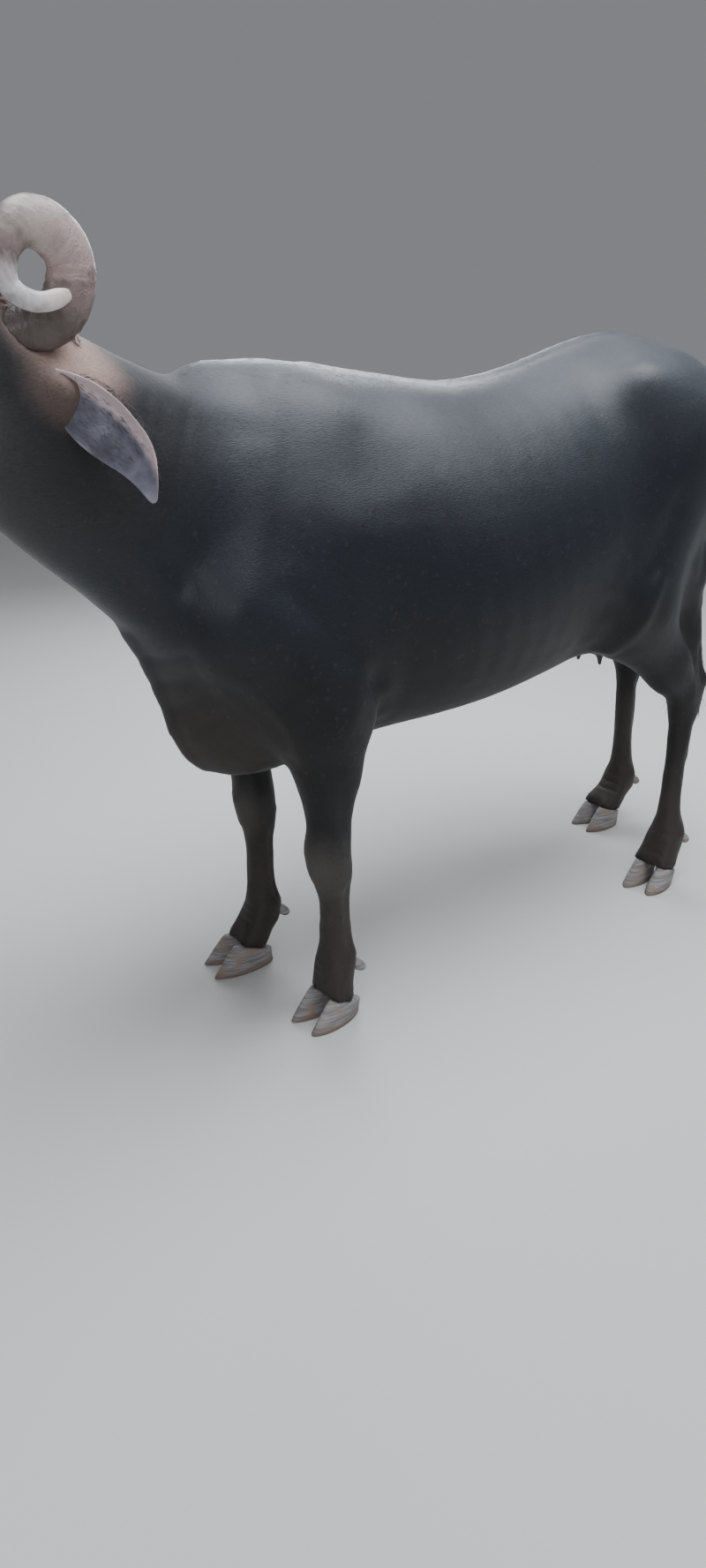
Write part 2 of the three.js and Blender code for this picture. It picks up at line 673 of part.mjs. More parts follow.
// The surface point of the flesh from a point inside it along a direction.
function surfaceFrom(inside, direction, reach) {
  let near = 0;
  let far = reach;
  while (far - near > 0.1) {
    const middle = (near + far) / 2;
    if (fleshField(inside.clone().addScaledVector(direction, middle)) < 0) near = middle;
    else far = middle;
  }
  return inside.clone().addScaledVector(direction, near);
}

// The line of the mouth: a shallow groove from one corner round the muzzle to the other.
function mouthLine() {
  const steps = 30;
  const rings = Array.from({ length: steps + 1 }, (_, i) => {
    const f = -1 + (2 * i) / steps;
    const back = Math.abs(f) ** 1.6;
    const inside = headPoint(MUZZLE.x - 150 * back, 0, -96 - 12 * back);
    const angle = f * THREE.MathUtils.degToRad(82);
    const out = at(Math.cos(angle), Math.sin(angle), 0).transformDirection(head.matrixWorld);
    const up = at(0, 0, 1).transformDirection(head.matrixWorld);
    const skin = surfaceFrom(inside, out, 160);
    const end = Math.abs(f) > 0.99 ? 0.5 : 1;
    return [
      skin.clone().addScaledVector(out, -8 * end),
      skin.clone().addScaledVector(out, 8).addScaledVector(up, -3.5 * end),
      skin.clone().addScaledVector(out, 8).addScaledVector(up, 3.5 * end),
    ];
  });
  return loft(rings);
}

// A nostril: a slanting comma-shaped pit at the front of the muzzle.
function nostril(side) {
  const mouth = headPoint(MUZZLE.x + 58, side * 36, -30);
  const deep = headPoint(MUZZLE.x + 20, side * 26, -44);
  const axis = deep.clone().sub(mouth).normalize();
  const up = at(-0.5, side * 0.35, 0.8).transformDirection(head.matrixWorld);
  const v = up.addScaledVector(axis, -up.dot(axis)).normalize();
  const u = axis.clone().cross(v);
  return loft([
    ringOf(mouth.clone().addScaledVector(axis, -24), u, v, 12, oval(11, 22)),
    ringOf(mouth, u, v, 12, oval(9, 19)),
    ringOf(deep, u, v, 12, oval(4, 8)),
  ]);
}

// Locks: flat, tapering, bending strips of hair with a lens-shaped section.
function lock(root, direction, face, length, width, bend) {
  const rings = [0, 0.35, 0.7, 1].map((t) => {
    const centre = root
      .clone()
      .addScaledVector(direction, t * length)
      .addScaledVector(bend, t * t * length);
    const wide = Math.max(width * (1 - t ** 2.2) * (0.75 + 0.6 * t), 1.6);
    const thick = Math.max(0.32 * wide, 1.1);
    const across = direction.clone().cross(face).normalize();
    return ringOf(centre, across, face, 5, oval(wide, thick));
  });
  return loft(rings);
}

// Tail: hangs from between the pin bones down the back of the thighs, with a switch of locks below the hocks.
const TAIL_ROOT = at(-842, 0, 1244);
const SWITCH_LOCKS = 12;
const SWITCH_LENGTH = 235;

function tailSpine() {
  return new THREE.CatmullRomCurve3([
    at(TAIL_ROOT.x + 60, 0, TAIL_ROOT.z + 4),
    at(TAIL_ROOT.x, 0, TAIL_ROOT.z - 6),
    at(-896, 4, 1150),
    at(-922, 10, 980),
    at(-936, 14, 800),
    at(-940, 16, TAIL_ROOT.z - TAIL_LENGTH + 240),
  ]);
}

function tailCore(grow) {
  const spine = tailSpine();
  const rings = Array.from({ length: 15 }, (_, i) => {
    const t = i / 14;
    const u = at(0, 1, 0);
    const ahead = spine.getTangent(t);
    const v = ahead.clone().cross(u).normalize();
    const r = THREE.MathUtils.lerp(33, 13, t ** 0.6) + grow;
    const start = i === 0 ? -grow : 0;
    return ringOf(spine.getPoint(t).addScaledVector(ahead, start), u, v, 10, oval(r * 1.05, r));
  });
  return loft(rings);
}

function tail() {
  const random = seeded(7);
  const end = tailSpine().getPoint(1);
  let solid = tailCore(0);
  for (let i = 0; i < SWITCH_LOCKS; i += 1) {
    const turn = i * 2.399;
    const around = at(Math.cos(turn), Math.sin(turn), 0);
    const rise = 110 * random();
    const root = end.clone().addScaledVector(around, 7).add(at(0, 0, rise - 6));
    const direction = at(0.05 * Math.cos(turn), 0.05 * Math.sin(turn), -1).normalize();
    const face = around.clone().addScaledVector(direction, -around.dot(direction)).normalize();
    const length = SWITCH_LENGTH * (0.8 + 0.35 * random()) + rise * 0.6;
    const bend = at(-0.04 + 0.1 * random(), 0.1 * (random() - 0.5), 0.02);
    solid = solid.add(lock(root, direction, face, length, 13 + 5 * random(), bend));
  }
  return solid;
}

// Udder: four teats on the flesh between the thighs.
const TEATS = [-1, 1].flatMap((side) => [
  at(-528, side * 36, 634),
  at(-592, side * 38, 642),
]);

function teat(root) {
  const stations = [
    [24, 15],
    [-12, 11],
    [-40, 9],
    [-50, 5],
  ];
  const rings = stations.map(([rise, r]) =>
    ringOf(root.clone().add(at(0, 0, rise)), at(1, 0, 0), at(0, 1, 0), 8, oval(r, r)),
  );
  return loft(rings);
}

// Assembly
const buffalo = new THREE.Group();
buffalo.name = "buffalo";
function addNode(name, solid, material) {
  const mesh = new THREE.Mesh(geometryOf(solid), material);
  mesh.name = name;
  buffalo.add(mesh);
}

const MARGIN = 60;
const TORSO_CELL = at(72, 53, 52);
const NECK_CELL = at(46, 38, 40);
const HEAD_CELL = at(28, 23, 22);
const LEG_CELL = at(27, 26, 48);
const LEG_TOP = cut(at(0, 0, 900), at(0, 0, 1));

// The flesh on the kept side of some cuts, meshed a little past them and then trimmed.
function flesh(low, high, cell, cuts, frame) {
  const past = (p) => cuts.map(([plane, side]) => depth(plane, side, p) - MARGIN);
  const field = (p) => Math.max(fleshField(p), ...past(p));
  const solid = surfaceNet(field, low, high, cell, frame);
  return cuts.reduce((kept, [plane, side]) => trim(kept, plane, side), solid);
}

let torso = flesh(at(-1060, -460, 440), at(900, 460, 1500), TORSO_CELL, [[NECK_ROOT, -1]]);
for (const name of Object.keys(LEGS)) torso = torso.subtract(legBlock(name, GAP));
torso = torso.subtract(tailCore(GAP));
for (const root of TEATS) torso = torso.add(teat(root));
addNode("torso", torso, HIDE);

const neckCuts = [
  [NECK_ROOT, 1],
  [NECK_TOP, -1],
];
let neck = flesh(at(420, -330, 640), at(1100, 460, 1560), NECK_CELL, neckCuts);

let skull = flesh(at(-240, -240, -340), at(560, 240, 200), HEAD_CELL, [[NECK_TOP, 1]], head.matrixWorld);
for (const side of Object.values(SIDES)) {
  skull = skull.add(ball(eyeCentre(side), EYE_RADIUS + LID));
  skull = skull.subtract(ball(eyeCentre(side), EYE_RADIUS + GAP)).subtract(eyeOpening(side));
  skull = skull.subtract(ear(side, GAP)).subtract(horn(side, HORN_GAP)).subtract(nostril(side));
  neck = neck.subtract(horn(side, HORN_GAP)).subtract(ear(side, GAP));
}
skull = skull.subtract(mouthLine());
addNode("neck", neck, HIDE);
addNode("head", skull, HIDE);

for (const [name, side] of Object.entries(SIDES)) {
  addNode(`ear_${name}`, ear(side, 0), EAR_SKIN);
  addNode(`eye_${name}`, ball(eyeCentre(side), EYE_RADIUS), EYE);
  addNode(`horn_${name}`, horn(side, 0), HORN);
}

for (const [name, leg] of Object.entries(LEGS)) {
  const { side, rear, front } = LEG_BLOCKS[name];
  const coronet = coronetPlane(leg);
  const low = at(rear - 80, side > 0 ? -20 : -460, -30);
  const high = at(front + 80, side > 0 ? 460 : 20, 960);
  const cuts = [
    [coronet, 1],
    [LEG_TOP, -1],
  ];
  let limb = flesh(low, high, LEG_CELL, cuts);
  limb = limb.intersect(legBlock(name, 0));
  for (const [where, inOut] of [
    ["inner", -1],
    ["outer", 1],
  ]) {
    limb = limb.subtract(dewclaw(name, inOut, GAP));
    addNode(`claw_${name}_${where}`, claw(name, inOut), HOOF);
    addNode(`dewclaw_${name}_${where}`, dewclaw(name, inOut, 0), HOOF);
  }
  addNode(`leg_${name}`, limb, HIDE);
}
addNode("tail", tail(), TAIL_HAIR);

// The group is moved so that its box stands centred on the origin.
const box = new THREE.Box3().setFromObject(buffalo, true);
const middle = box.getCenter(at(0, 0, 0));
buffalo.position.set(-middle.x, -middle.y, 0);
export default buffalo;
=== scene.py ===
# %% [markdown]
# A water buffalo cow at life size, standing with its head raised and turned to its left. The solids of
# the frame carry its size and stance. They could be shown as they are, but the cuts between them would
# show as seams, so here one skin grows over the flesh nodes, with the muscles, folds, lids and lips
# modelled into it. Then come the finer pieces, the coat, the materials, the light and the camera.

import math

import bmesh
import bpy
import numpy as np
from mathutils import Matrix, Vector
from mathutils.bvhtree import BVHTree


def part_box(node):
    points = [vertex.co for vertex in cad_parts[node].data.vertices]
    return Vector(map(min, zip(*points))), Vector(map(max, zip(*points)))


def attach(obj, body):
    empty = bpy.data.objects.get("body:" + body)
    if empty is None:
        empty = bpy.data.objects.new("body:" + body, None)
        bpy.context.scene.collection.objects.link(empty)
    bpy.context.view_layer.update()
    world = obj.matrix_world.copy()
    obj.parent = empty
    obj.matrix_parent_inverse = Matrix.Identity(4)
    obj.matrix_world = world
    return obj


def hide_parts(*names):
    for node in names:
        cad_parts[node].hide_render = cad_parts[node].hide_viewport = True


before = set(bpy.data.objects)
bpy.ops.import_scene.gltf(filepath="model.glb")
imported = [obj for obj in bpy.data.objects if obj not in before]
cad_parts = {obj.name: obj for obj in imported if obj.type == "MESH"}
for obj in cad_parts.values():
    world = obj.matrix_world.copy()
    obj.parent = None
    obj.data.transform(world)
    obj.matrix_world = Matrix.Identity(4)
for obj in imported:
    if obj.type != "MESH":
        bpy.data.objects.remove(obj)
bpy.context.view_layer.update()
scene = bpy.context.scene

# %% [markdown]
# Where things are. The solids are centred on their box. The animal's own numbers are counted from a point
# on the ground under its trunk, so SHIFT carries them into the frame, and the head has a frame of its own
# between the ears. Every place could be typed in frame coordinates, but numbers that are counted from the
# body and the head are easier to read and change.

# %% Places on the body and the head
HEAD_AT = Vector((0.922, 0.120, 1.345))
HEAD_PITCH = math.radians(22)
HEAD_YAW = math.radians(15)
EYE_AT = Vector((0.164, 0.088, 0.014))
EYE_RADIUS = 0.022
EYE_SINK = 0.62
EYE_AXIS = Vector((0.3, 0.92, 0.18)).normalized()
HEAD_TURN = (Matrix.Rotation(HEAD_YAW, 4, "Z") @ Matrix.Rotation(-HEAD_PITCH, 4, "Y")).to_3x3()


def mirrored(v, side):
    return Vector((v.x, v.y * side, v.z))


def middle(node):
    low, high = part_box(node)
    return (low + high) / 2


eye_home = HEAD_AT + HEAD_TURN @ (EYE_AT - EYE_AXIS * EYE_RADIUS * EYE_SINK)
SHIFT = Vector((middle("eye_left").x - eye_home.x, 0, 0))


def body_point(x, y, z):
    """A point of the animal, in millimetres from the ground under its trunk, in the frame."""
    return np.array((x / 1000 + SHIFT.x, y / 1000, z / 1000))


def head_point(x, y, z):
    """A point of the head, in millimetres from between the ears, in the frame."""
    return np.array(HEAD_AT + SHIFT + HEAD_TURN @ Vector((x, y, z)) / 1000)


def head_direction(x, y, z):
    return np.array(HEAD_TURN @ Vector((x, y, z)).normalized())


print("shift", tuple(round(v, 4) for v in SHIFT))

# %% [markdown]
# The camera stands at the photo's place: level with the animal's back, ahead of its left shoulder,
# looking down across it, with a slight roll. It could be aimed by eye, but its place, turn and focal
# length were fitted to the hooves, leg joints and back line. The picture is cut by its left edge at the
# poll, as the photo is.

# %% Camera
CAMERA_AT = Vector((1.4148, 1.7300, 1.2936))
CAMERA_YAW = math.radians(-34.158)
CAMERA_PITCH = math.radians(-22.002)
CAMERA_ROLL = math.radians(-2.892)
FOCAL_PIXELS = 1121.2
PICTURE_LONG_SIDE = 1777
SENSOR = 36.0

ahead = Vector(
    (
        math.sin(CAMERA_YAW) * math.cos(CAMERA_PITCH),
        -math.cos(CAMERA_YAW) * math.cos(CAMERA_PITCH),
        math.sin(CAMERA_PITCH),
    )
)
right = ahead.cross(Vector((0, 0, 1))).normalized()
above = right.cross(ahead)
rolled_right = right * math.cos(CAMERA_ROLL) + above * math.sin(CAMERA_ROLL)
rolled_up = above * math.cos(CAMERA_ROLL) - right * math.sin(CAMERA_ROLL)
camera_data = bpy.data.cameras.new("camera")
camera_data.sensor_fit = "AUTO"
camera_data.sensor_width = SENSOR
camera_data.lens = SENSOR * FOCAL_PIXELS / PICTURE_LONG_SIDE
camera_data.clip_end = 60
camera = bpy.data.objects.new("camera", camera_data)
turned = Matrix((rolled_right, rolled_up, -ahead)).transposed().to_4x4()
camera.matrix_world = Matrix.Translation(CAMERA_AT + SHIFT) @ turned
scene.collection.objects.link(camera)
scene.camera = camera

# %% [markdown]
# The real hide is one closed skin. Here it starts as copies of the flesh nodes, fattened a little so that
# they overlap across their gaps, and joined by a voxel remesh. A boolean union would join them too, but
# it keeps the long thin faces of the cuts. Balls fill the sockets and the cut mouth and nostrils, which
# are modelled again in finer faces.

# %% Flesh copies joined into one skin
FLESH = ["torso", "neck", "head", "leg_fore_left", "leg_fore_right", "leg_hind_left", "leg_hind_right"]
FATTEN = 0.0009
VOXEL = 0.0105


def object_from(bm, name):
    mesh = bpy.data.meshes.new(name)
    bm.to_mesh(mesh)
    bm.free()
    made = bpy.data.objects.new(name, mesh)
    scene.collection.objects.link(made)
    return made


def baked(source, modifiers, name):
    """A new object from a copy of source with modifiers applied: a list of (type, settings)."""
    work = bpy.data.objects.new(name + "_work", source.data)
    scene.collection.objects.link(work)
    for kind, settings in modifiers:
        modifier = work.modifiers.new(kind.lower(), kind)
        for key, value in settings.items():
            setattr(modifier, key, value)
    graph = bpy.context.evaluated_depsgraph_get()
    mesh = bpy.data.meshes.new_from_object(work.evaluated_get(graph))
    made = bpy.data.objects.new(name, mesh)
    scene.collection.objects.link(made)
    bpy.data.objects.remove(work)
    return made


gathered = bmesh.new()
for node in FLESH:
    copy = bmesh.new()
    copy.from_mesh(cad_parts[node].data)
    bmesh.ops.remove_doubles(copy, verts=copy.verts, dist=1e-6)
    copy.normal_update()
    moves = [(v, v.normal.copy()) for v in copy.verts]
    for v, normal in moves:
        v.co += normal * FATTEN
    piece = bpy.data.meshes.new(node + "_copy")
    copy.to_mesh(piece)
    copy.free()
    gathered.from_mesh(piece)
    bpy.data.meshes.remove(piece)
HORN_ROOT = (52, 48, 46)
FILLERS = [
    (tuple(1000 * (EYE_AT - EYE_AXIS * EYE_RADIUS * EYE_SINK)), 25.5),
    ((440, 33, -38), 24),
    (HORN_ROOT, 31),
    ((-6, 76, -18), 25),
    ((-26, 94, -24), 29),
    ((-42, 112, -30), 25),
    *[((242 + 16 * step, 52 - 0.2 * step, -106), 13) for step in range(12)],
    *[((440, 10 * step, -100), 16) for step in range(5)],
]
for (x, y, z), radius in FILLERS:
    for side in (1, -1):
        place = Matrix.Translation(Vector(head_point(x, side * y, z)))
        bmesh.ops.create_icosphere(gathered, subdivisions=3, radius=radius / 1000, matrix=place)
flesh = object_from(gathered, "flesh")
skin = baked(flesh, [("REMESH", {"mode": "VOXEL", "voxel_size": VOXEL, "adaptivity": 0.0})], "hide")
bpy.data.objects.remove(flesh)
print("remeshed", len(skin.data.vertices), "vertices")

# %% [markdown]
# The remesh leaves small steps. A Smooth modifier would shrink the legs, so smoothing works on numbers:
# each pass moves every vertex towards the middle of its neighbours and then a little further back, which
# removes facets and keeps the volume. The trunk takes more passes than the legs and the head. Places
# where broad masses meet, such as the hip, are rounded off on their own. The head and feet are then
# divided for finer forms.

# %% Smoothing and dividing


def positions(mesh):
    co = np.empty(len(mesh.vertices) * 3)
    mesh.vertices.foreach_get("co", co)
    return co.reshape(-1, 3)


def set_positions(mesh, co):
    mesh.vertices.foreach_set("co", np.asarray(co, np.float32).ravel())
    mesh.update()


def edges_of(mesh):
    pairs = np.empty(len(mesh.edges) * 2, np.int32)
    mesh.edges.foreach_get("vertices", pairs)
    return pairs.reshape(-1, 2)


def neighbour_mean(co, pairs):
    n = len(co)
    degree = np.bincount(pairs.ravel(), minlength=n)
    total = np.stack(
        [
            np.bincount(pairs[:, 0], co[pairs[:, 1], k], n) + np.bincount(pairs[:, 1], co[pairs[:, 0], k], n)
            for k in range(3)
        ],
        axis=1,
    )
    return total / np.maximum(degree, 1)[:, None]


def smoothed(co, pairs, passes, weight):
    """Shrink and swell passes, scaled by a weight for each vertex."""
    for _ in range(passes):
        for step in (0.55, -0.57):
            co = co + (neighbour_mean(co, pairs) - co) * (step * weight)[:, None]
    return co


def fade(value, near, far):
    """1 at near, 0 at far, smooth between."""
    t = np.clip((value - near) / (far - near), 0, 1)
    return 1 - t * t * (3 - 2 * t)


co = positions(skin.data)
pairs = edges_of(skin.data)
head_frame = (co - np.array(HEAD_AT + SHIFT)) @ np.array(HEAD_TURN)
in_head = fade(head_frame[:, 0], 0.02, -0.10)
on_leg = fade(co[:, 2], 0.58, 0.72)
trunk = 1 - np.maximum(in_head, on_leg)
co = smoothed(co, pairs, 10, np.ones(len(co)))
co = smoothed(co, pairs, 45, trunk)
co = smoothed(co, pairs, 8, on_leg)
ROUNDED = [(-430, 205, 1250), (-400, 215, 1180), (606, 165, 905), (330, 170, 1240)]
for x, y, z in ROUNDED:
    for side in (1, -1):
        apart = np.linalg.norm(co - body_point(x, side * y, z), axis=1)
        for _ in range(40):
            co += (neighbour_mean(co, pairs) - co) * (0.5 * fade(apart, 0.05, 0.16))[:, None]
set_positions(skin.data, co)

fine = bmesh.new()
fine.from_mesh(skin.data)


def divide(bm, wanted):
    """Cuts each edge whose middle is wanted, and keeps the surface closed."""
    edges = [e for e in bm.edges if wanted((e.verts[0].co + e.verts[1].co) / 2)]
    bmesh.ops.subdivide_edges(bm, edges=edges, cuts=1, use_grid_fill=True, smooth=0.35)


def to_head(p):
    return HEAD_TURN.transposed() @ (Vector(p) - HEAD_AT - SHIFT) * 1000


def near_eye(p, reach):
    h = to_head(p)
    return (Vector((h.x, abs(h.y), h.z)) - EYE_AT * 1000).length < reach


def near_mouth(p):
    h = to_head(p)
    return h.x > 392 and h.z > -150 or h.x > 236 and -132 < h.z < -84


divide(fine, lambda p: to_head(p).x > -60 or p.z < 0.2)
divide(fine, lambda p: near_eye(p, 62) or near_mouth(p))
divide(fine, lambda p: near_eye(p, 40))
bmesh.ops.triangulate(fine, faces=[f for f in fine.faces if len(f.verts) > 4])
fine.normal_update()
fine.to_mesh(skin.data)
fine.free()
co = positions(skin.data)
pairs = edges_of(skin.data)
head_frame = (co - np.array(HEAD_AT + SHIFT)) @ np.array(HEAD_TURN)
in_head = fade(head_frame[:, 0], 0.0, -0.10)
co = smoothed(co, pairs, 12, in_head)
set_positions(skin.data, co)
print("divided", len(skin.data.vertices), "vertices")

# %% [markdown]
# Under the hide, bones and muscles show as soft ridges and hollows. They could be sculpted by hand, but a
# script has to repeat them, so each is a line of points with a width and a height. Near the line the skin
# rises, or sinks where the height is negative, along its own normal. Body lines are in millimetres and
# made on both sides.

# %% Forms of the trunk and neck


def normals_of(mesh):
    out = np.empty(len(mesh.vertices) * 3)
    mesh.vertices.foreach_get("normal", out)
    return out.reshape(-1, 3)


def distance_to_line(co, line):
    best = np.full(len(co), 1e9)
    for a, b in zip(line[:-1], line[1:]):
        along = b - a
        t = np.clip((co - a) @ along / max(along @ along, 1e-12), 0, 1)
        best = np.minimum(best, np.linalg.norm(co - a - t[:, None] * along, axis=1))
    return best


STEPS = 5
surface = BVHTree.FromPolygons(
    [tuple(v) for v in positions(skin.data)], [tuple(polygon.vertices) for polygon in skin.data.polygons]
)


def on_skin(line):
    """The line laid onto the skin, with more points on the way."""
    line = [*line, np.asarray(line[-1]) + 1e-5]
    laid = []
    for a, b in zip(line[:-1], line[1:]):
        for t in np.arange(STEPS) / STEPS:
            laid.append(np.array(surface.find_nearest(Vector(a + (b - a) * t))[0]))
    return laid


def raised(co, normals, line, width, height):
    """co moved along its normals by a smooth ridge or groove along a line; sizes in millimetres."""
    line = on_skin([np.asarray(p) for p in line])
    reach = 2.6 * width / 1000
    low = np.min(line, axis=0) - reach
    high = np.max(line, axis=0) + reach
    near = np.flatnonzero(np.all((co > low) & (co < high), axis=1))
    d = distance_to_line(co[near], line) / (width / 1000)
    co[near] += normals[near] * (np.exp(-d * d) * height / 1000)[:, None]
    return co


BODY_LINES = [
    # shoulder: blade, its rear edge, the point of the shoulder, upper arm and elbow crease
    ([(440, 92, 1290), (520, 150, 1100), (590, 178, 930)], 30, 8),
    ([(300, 175, 1200), (312, 238, 1070), (338, 262, 900)], 44, -6),
    ([(640, 120, 1060), (655, 140, 930), (640, 130, 800)], 40, -4),
    ([(606, 165, 905)], 76, 6),
    ([(520, 235, 960), (420, 262, 860), (352, 238, 760)], 26, -6),
    ([(352, 225, 770), (322, 215, 690)], 22, -10),
    ([(600, 170, 800), (520, 205, 700), (500, 200, 640)], 20, -5),
    # loin, flank hollow, hip bone and the thigh's grooves
    ([(-322, 200, 1150), (-350, 225, 1080)], 90, -8),
    ([(-428, 212, 1262)], 56, 4),
    ([(-428, 196, 1282), (-520, 96, 1360)], 40, 4),
    ([(-790, 104, 1150)], 40, 8),
    ([(-600, 236, 1120), (-660, 240, 960), (-650, 236, 820)], 22, -6),
    ([(-470, 262, 1010), (-400, 262, 880)], 30, -7),
    ([(-330, 235, 690), (-372, 250, 760), (-420, 262, 850)], 20, 9),
    ([(-330, 262, 780), (-350, 262, 860)], 26, -7),
    # neck: the groove of the windpipe's side, the long muscle under the crest
    ([(650, 118, 985), (760, 158, 1085), (880, 196, 1180)], 24, -8),
    ([(520, 110, 1265), (700, 130, 1270), (860, 170, 1310)], 34, 6),
]
MIDLINES = [
    ([(300, 0, 1330), (0, 0, 1290), (-300, 0, 1330), (-560, 0, 1374), (-800, 0, 1290)], 20, 5),
    ([(700, 20, 900), (672, 0, 760), (600, 0, 600)], 26, 10),
    ([(480, 0, 565), (100, 0, 596)], 30, -4),
]
BODY_STRENGTH = 0.75
RIBS = 9
RIB_STEP = 62
NECK_FOLDS = 7
CHEST_FOLDS = 4

rng = np.random.default_rng(11)
co = positions(skin.data)
normals = normals_of(skin.data)
for points, width, height in BODY_LINES:
    for side in (1, -1):
        line = [body_point(x, side * y, z) for x, y, z in points]
        co = raised(co, normals, line, width, BODY_STRENGTH * height)
for points, width, height in MIDLINES:
    co = raised(co, normals, [body_point(*point) for point in points], width, height)
for rib in range(RIBS):
    x = 225 - RIB_STEP * rib
    for side in (1, -1):
        line = [(x, 262, 1130), (x - 24, 304, 1000), (x - 46, 306, 840), (x - 50, 270, 720)]
        co = raised(co, normals, [body_point(px, side * py, pz) for px, py, pz in line], 20, 1.4 - 0.10 * rib)
for fold in range(NECK_FOLDS):
    x = 700 + 27 * fold
    bend = rng.uniform(-9, 9)
    for side in (1, -1):
        line = [
            (x - 80 + bend, 60 + 0.2 * (x - 700) + side * 96, 1290),
            (x - 26, 50 + 0.25 * (x - 700) + side * 128, 1190),
            (x + 34 - bend, 40 + 0.3 * (x - 700) + side * 118, 1080),
        ]
        width = rng.uniform(7, 10)
        depth = rng.uniform(1.6, 3.2)
        co = raised(co, normals, [body_point(*point) for point in line], width, -depth)
for fold in range(CHEST_FOLDS):
    z = 850 - 58 * fold
    line = [(640, -120, z + 30), (690 - 26 * fold, 0, z), (640, 130, z + 34)]
    co = raised(co, normals, [body_point(*point) for point in line], 11, -3)

# %% [markdown]
# A leg is bone and tendon under thin skin. The joints of each leg are named once, as they stand. The knee
# pad, the point of the hock, the tendon behind the cannon and the grooves beside it are lines between
# them, so that all four legs share one set of numbers.

# %% Forms of the legs
LEGS = {
    "fore_left": (1, (434, 190, 392), (414, 161, 140)),
    "fore_right": (-1, (406, 160, 392), (414, 156, 140)),
    "hind_left": (1, (-668, 202, 515), (-632, 208, 140)),
    "hind_right": (-1, (-884, 160, 515), (-862, 152, 140)),
}


def leg_line(joint, foot, side, steps):
    """Points from a joint to the fetlock; a step is (share of the way, forward, outward), in millimetres."""
    out = []
    for share, forward, outward in steps:
        x, y, z = (joint[k] + (foot[k] - joint[k]) * share for k in range(3))
        out.append(body_point(x + forward, side * (y + outward), z))
    return out


for name, (side, joint, foot) in LEGS.items():
    hind = name.startswith("hind")
    for outward in (-30, 30):
        groove = leg_line(joint, foot, side, [(0.22, -14, outward), (0.9, -14, outward)])
        co = raised(co, normals, groove, 7, -3.6)
        bone = leg_line(joint, foot, side, [(0.2, 8, outward), (0.85, 8, outward)])
        co = raised(co, normals, bone, 9, 2)
        knob = leg_line(joint, foot, side, [(0.98, -6, outward * 1.3)])
        co = raised(co, normals, knob, 15, 4)
    tendon = leg_line(joint, foot, side, [(0.2, -34, 0), (0.9, -34, 0)])
    co = raised(co, normals, tendon, 9, 3)
    if hind:
        co = raised(co, normals, leg_line(joint, foot, side, [(-0.07, -58, 0)]), 20, 7)
        co = raised(co, normals, leg_line(joint, foot, side, [(-0.32, -26, 30), (-0.1, -30, 26)]), 13, -6)
        co = raised(co, normals, leg_line(joint, foot, side, [(-0.32, -26, -30), (-0.1, -30, -26)]), 13, -6)
        co = raised(co, normals, leg_line(joint, foot, side, [(0.0, 20, 38)]), 18, 5)
        co = raised(co, normals, leg_line(joint, foot, side, [(0.02, 44, 0)]), 16, -3)
    else:
        co = raised(co, normals, leg_line(joint, foot, side, [(-0.1, 44, 0), (0.1, 42, 0)]), 20, 5)
        co = raised(co, normals, leg_line(joint, foot, side, [(0.06, -40, 0)]), 14, 6)
        co = raised(co, normals, leg_line(joint, foot, side, [(-0.16, -20, 36), (-0.7, -6, 46)]), 14, -4)
    for fold in range(3):
        crease = [(0.98 + 0.07 * fold, 34 + 8 * fold, across) for across in (-26, 0, 26)]
        co = raised(co, normals, leg_line(joint, foot, side, crease), 4.5, -2)

# %% [markdown]
# The head gets brow, face crest, nose, cheek, lips and nostrils as lines in its own frame, and then the
# lids. A lid could be a piece of its own, but its edge would show, so it is the skin lifted onto a ball a
# little larger than the eye. Inside its almond opening the skin drops behind the eye.

# %% Forms of the head, the mouth and the lids
HEAD_LINES = [
    ([(118, 84, 40), (160, 84, 47), (206, 74, 34)], 12, 6),
    ([(60, 60, 74), (100, 40, 92)], 26, 4),
    ([(214, 74, -22), (270, 64, -42), (330, 58, -56)], 12, 5),
    ([(200, 30, 56), (300, 32, 30), (400, 34, 4)], 12, 3),
    ([(300, 62, -14), (380, 58, -22)], 20, -5),
    ([(40, 96, -60), (92, 100, -120), (150, 84, -150)], 15, -4),
    ([(150, 92, -76), (190, 78, -106), (176, 70, -140)], 12, -4),
    ([(100, 98, -66)], 40, 5),
    ([(176, 92, -14), (232, 78, -34)], 5, -2.2),
    ([(182, 92, -22), (226, 80, -46)], 4, -1.8),
    ([(130, 92, 52), (176, 86, 56), (214, 68, 46)], 4, -1.8),
    ([(122, 88, 62), (170, 78, 68), (214, 58, 56)], 4.5, -1.6),
    ([(420, 62, -84), (452, 52, -78), (470, 26, -74), (474, 0, -72)], 9, 4),
    ([(400, 52, -112), (440, 40, -112), (452, 0, -112)], 9, 4),
    ([(456, 0, -12), (474, 0, -40), (474, 0, -70)], 4, -3),
    ([(420, 44, -134), (436, 0, -138)], 14, 4),
    ([(448, 62, -10), (470, 58, -30), (462, 56, -58)], 8, 5),
    ([(440, 40, 0), (466, 30, -14)], 7, 4),
]
MOUTH = [
    (254, 66, -112),
    (300, 62, -108),
    (350, 62, -103),
    (400, 66, -98),
    (440, 58, -96),
    (464, 34, -96),
    (470, 0, -96),
]
NOSTRIL = [(452, 54, -14), (470, 46, -30), (474, 36, -48)]
MUZZLE_WRINKLES = 5

